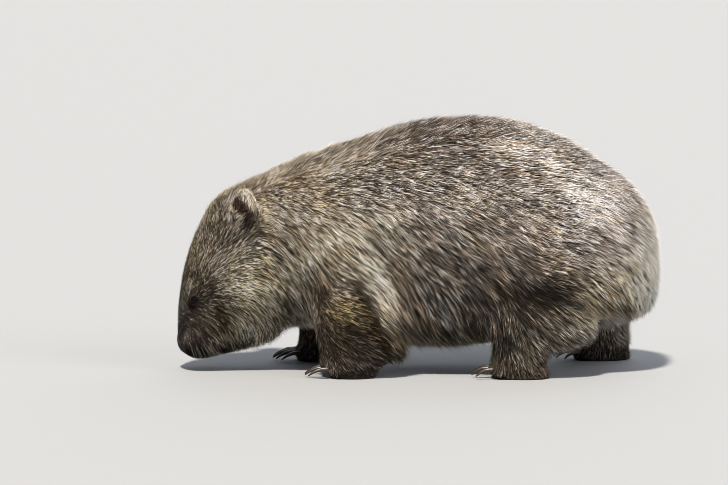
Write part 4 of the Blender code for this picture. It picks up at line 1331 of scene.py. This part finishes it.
# %% Whiskers
def whiskers(sides=4, steps=9):
    """Path: root + length (direction t + droop t^2). Tube: a ring round each step, its radius
    falling evenly towards the tip."""
    random = np.random.default_rng(5)
    root, normal, length = whisker_roots(random)
    count = len(root)
    out = unit(normal * 0.35 + TO_NOSE * 0.45 - TO_FOREHEAD * 0.65
               + random.normal(0, 0.10, (count, 3)))
    t = np.linspace(0, 1, steps)[:, None, None]
    length = length[:, None] * random.uniform(0.8, 1.15, (count, 1))
    path = root - normal * 0.8 * MM + out * length * t + WHISKER_DROOP * length * t**2
    path[..., 2] = np.maximum(path[..., 2], 0.8 * MM)
    one = unit(np.cross(out, (0.3, 0.2, 0.9)))
    other = np.cross(out, one)
    angle = np.linspace(0, 2 * np.pi, sides, endpoint=False)[:, None, None]
    ring = np.cos(angle) * one + np.sin(angle) * other
    radius = WHISKER_RADIUS * (1 - t * WHISKER_TAPER)
    rings = path[:, None] + ring * radius[:, None]
    rings = rings.transpose(2, 0, 1, 3).reshape(count, -1, 3)
    ends = path[0][:, None] - out[:, None] * 0.2 * MM, path[-1][:, None] + out[:, None] * 0.6 * MM
    points = np.concatenate((ends[0], rings, ends[1]), axis=1)
    faces = lathe_faces(steps, sides)
    faces = faces + np.arange(count)[:, None, None] * points.shape[1]
    points, faces = points.reshape(-1, 3), faces.reshape(-1, 3)
    return make_object("whiskers", points, outward(points - points.mean(axis=0), faces))


hair = whiskers()
bristle, _ = new_material("pale_bristle", roughness=0.35, ior=1.55, base_color=rgba("#cfc6b6"))
hair.data.materials.append(bristle)
hand_over(hair, "coat")
print("whiskers", len(hair.data.polygons), "triangles")

# %% [markdown]
# ## Claws
#
# The claws are long, blunt and slightly bent, for digging. They could be shaped anew, but the solid
# of each has the right place and size, and only its facets are flat, so a merged copy of it is
# smoothed by subdivision. Horn is dark and finely streaked with paler layers.

# %% Claws
def horn_material():
    """Keratin: IOR 1.54, satin, with streaks half a millimetre apart along the claw."""
    streak_size = MM / 1.8
    material, shader = new_material("worn_horn", roughness=0.4, ior=1.54)
    place = add_node(material, "ShaderNodeTexCoord").outputs["Object"]
    squeezed = add_node(material, "ShaderNodeMapping", None,
                        {"Vector": place, "Scale": (0.15, 1.0, 1.0)})
    streaks = add_node(material, "ShaderNodeTexNoise", None,
                       {"Vector": squeezed.outputs["Vector"], "Scale": 1 / streak_size,
                        "Detail": 3.0})
    lay_grain(material, shader, streaks.outputs["Fac"], "#120e0b", "#40352b", 0.4, 0.3 * MM)
    return material


HORN = horn_material()
claw_nodes = sorted(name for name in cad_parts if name.startswith("claw_"))
for node in claw_nodes:
    points, faces = merged_copy(node)
    claw = make_object(node.replace("claw_", "horn_"), points, faces)
    rounded = claw.modifiers.new("rounded", "SUBSURF")
    rounded.levels = rounded.render_levels = 2
    claw.data.materials.append(HORN)
    hand_over(claw, "claw_horn", node)
print("claws", len(claw_nodes))

# %% [markdown]
# ## Floor, light and camera
#
# A pale floor of matt painted board, without gloss, runs far past the view. The key light stands
# high on the animal's left and a little before it, wide enough for soft shadows. Two weaker lights,
# from behind on its left and from its right, soften the shaded sides, and a pale sky does the rest.
# Lamps close by could light it too, but distant ones light every part of it alike. The camera looks
# from six degrees above the horizon through a long lens, so that near and far parts keep their
# scale.

# %% Floor and light
def studio_floor():
    """A plain square, far larger than the view."""
    half = 40.0
    points = np.array([(-half, -half, 0), (half, -half, 0), (half, half, 0), (-half, half, 0)])
    made = make_object("studio_floor", points, np.array([(0, 1, 2, 3)]))
    board, _ = new_material("painted_board", roughness=0.9, base_color=rgba("#959697"))
    made.data.materials.append(board)


def add_sun(name, azimuth, elevation, strength, softness, colour):
    """A distant lamp: its bearing round the animal, height, and how wide it looks, in degrees."""
    lamp = bpy.data.lights.new(name, "SUN")
    lamp.energy, lamp.angle, lamp.color = strength, math.radians(softness), tuple(linear(colour))
    made = bpy.data.objects.new(name, lamp)
    bpy.context.scene.collection.objects.link(made)
    made.rotation_euler = (math.radians(90 - elevation), 0, math.radians(azimuth))


studio_floor()
add_sun("key_light", -10, 58, 6.6, 5, "#fff8ee")
add_sun("fill_light", 55, 30, 1.0, 30, "#f4f5fb")
add_sun("back_light", 165, 30, 1.2, 60, "#eef3ff")
sky = bpy.data.worlds.new("soft_room")
bpy.context.scene.world = sky
sky.use_nodes = True
sky_light = sky.node_tree.nodes["Background"].inputs
sky_light["Color"].default_value, sky_light["Strength"].default_value = rgba("#e9eef5"), 0.42
bpy.context.scene.view_settings.view_transform = "Standard"
bpy.context.scene.cycles.filter_width = 0.8  # a sharp lens, for hair a pixel wide
print("lamps", [lamp.name for lamp in bpy.data.lights])

# %% Camera
IMAGE_WIDTH, IMAGE_HEIGHT = 728, 485
LENS, SENSOR, DISTANCE = 420.0, 36.0, 12.0
ELEVATION = math.radians(6)
GROUND_MIDDLE = np.array((419.0, 368.5))  # the floor under the animal's middle, in pixels
PIXEL = DISTANCE * SENSOR / LENS / IMAGE_WIDTH  # metres on the animal
back = np.array((0.0, -math.cos(ELEVATION), math.sin(ELEVATION)))
up = np.array((0.0, math.sin(ELEVATION), math.cos(ELEVATION)))
offset = (np.array((IMAGE_WIDTH, IMAGE_HEIGHT)) / 2 - GROUND_MIDDLE) * PIXEL
target = np.array((1.0, 0.0, 0.0)) * offset[0] - up * offset[1]
camera = bpy.data.objects.new("camera", bpy.data.cameras.new("camera"))
bpy.context.scene.collection.objects.link(camera)
camera.data.lens, camera.data.sensor_width, camera.data.clip_end = LENS, SENSOR, 100.0
camera.location = target + back * DISTANCE
camera.rotation_euler = (math.radians(90) - ELEVATION, 0.0, 0.0)
bpy.context.scene.camera = camera
print("camera at", [round(value, 3) for value in camera.location])
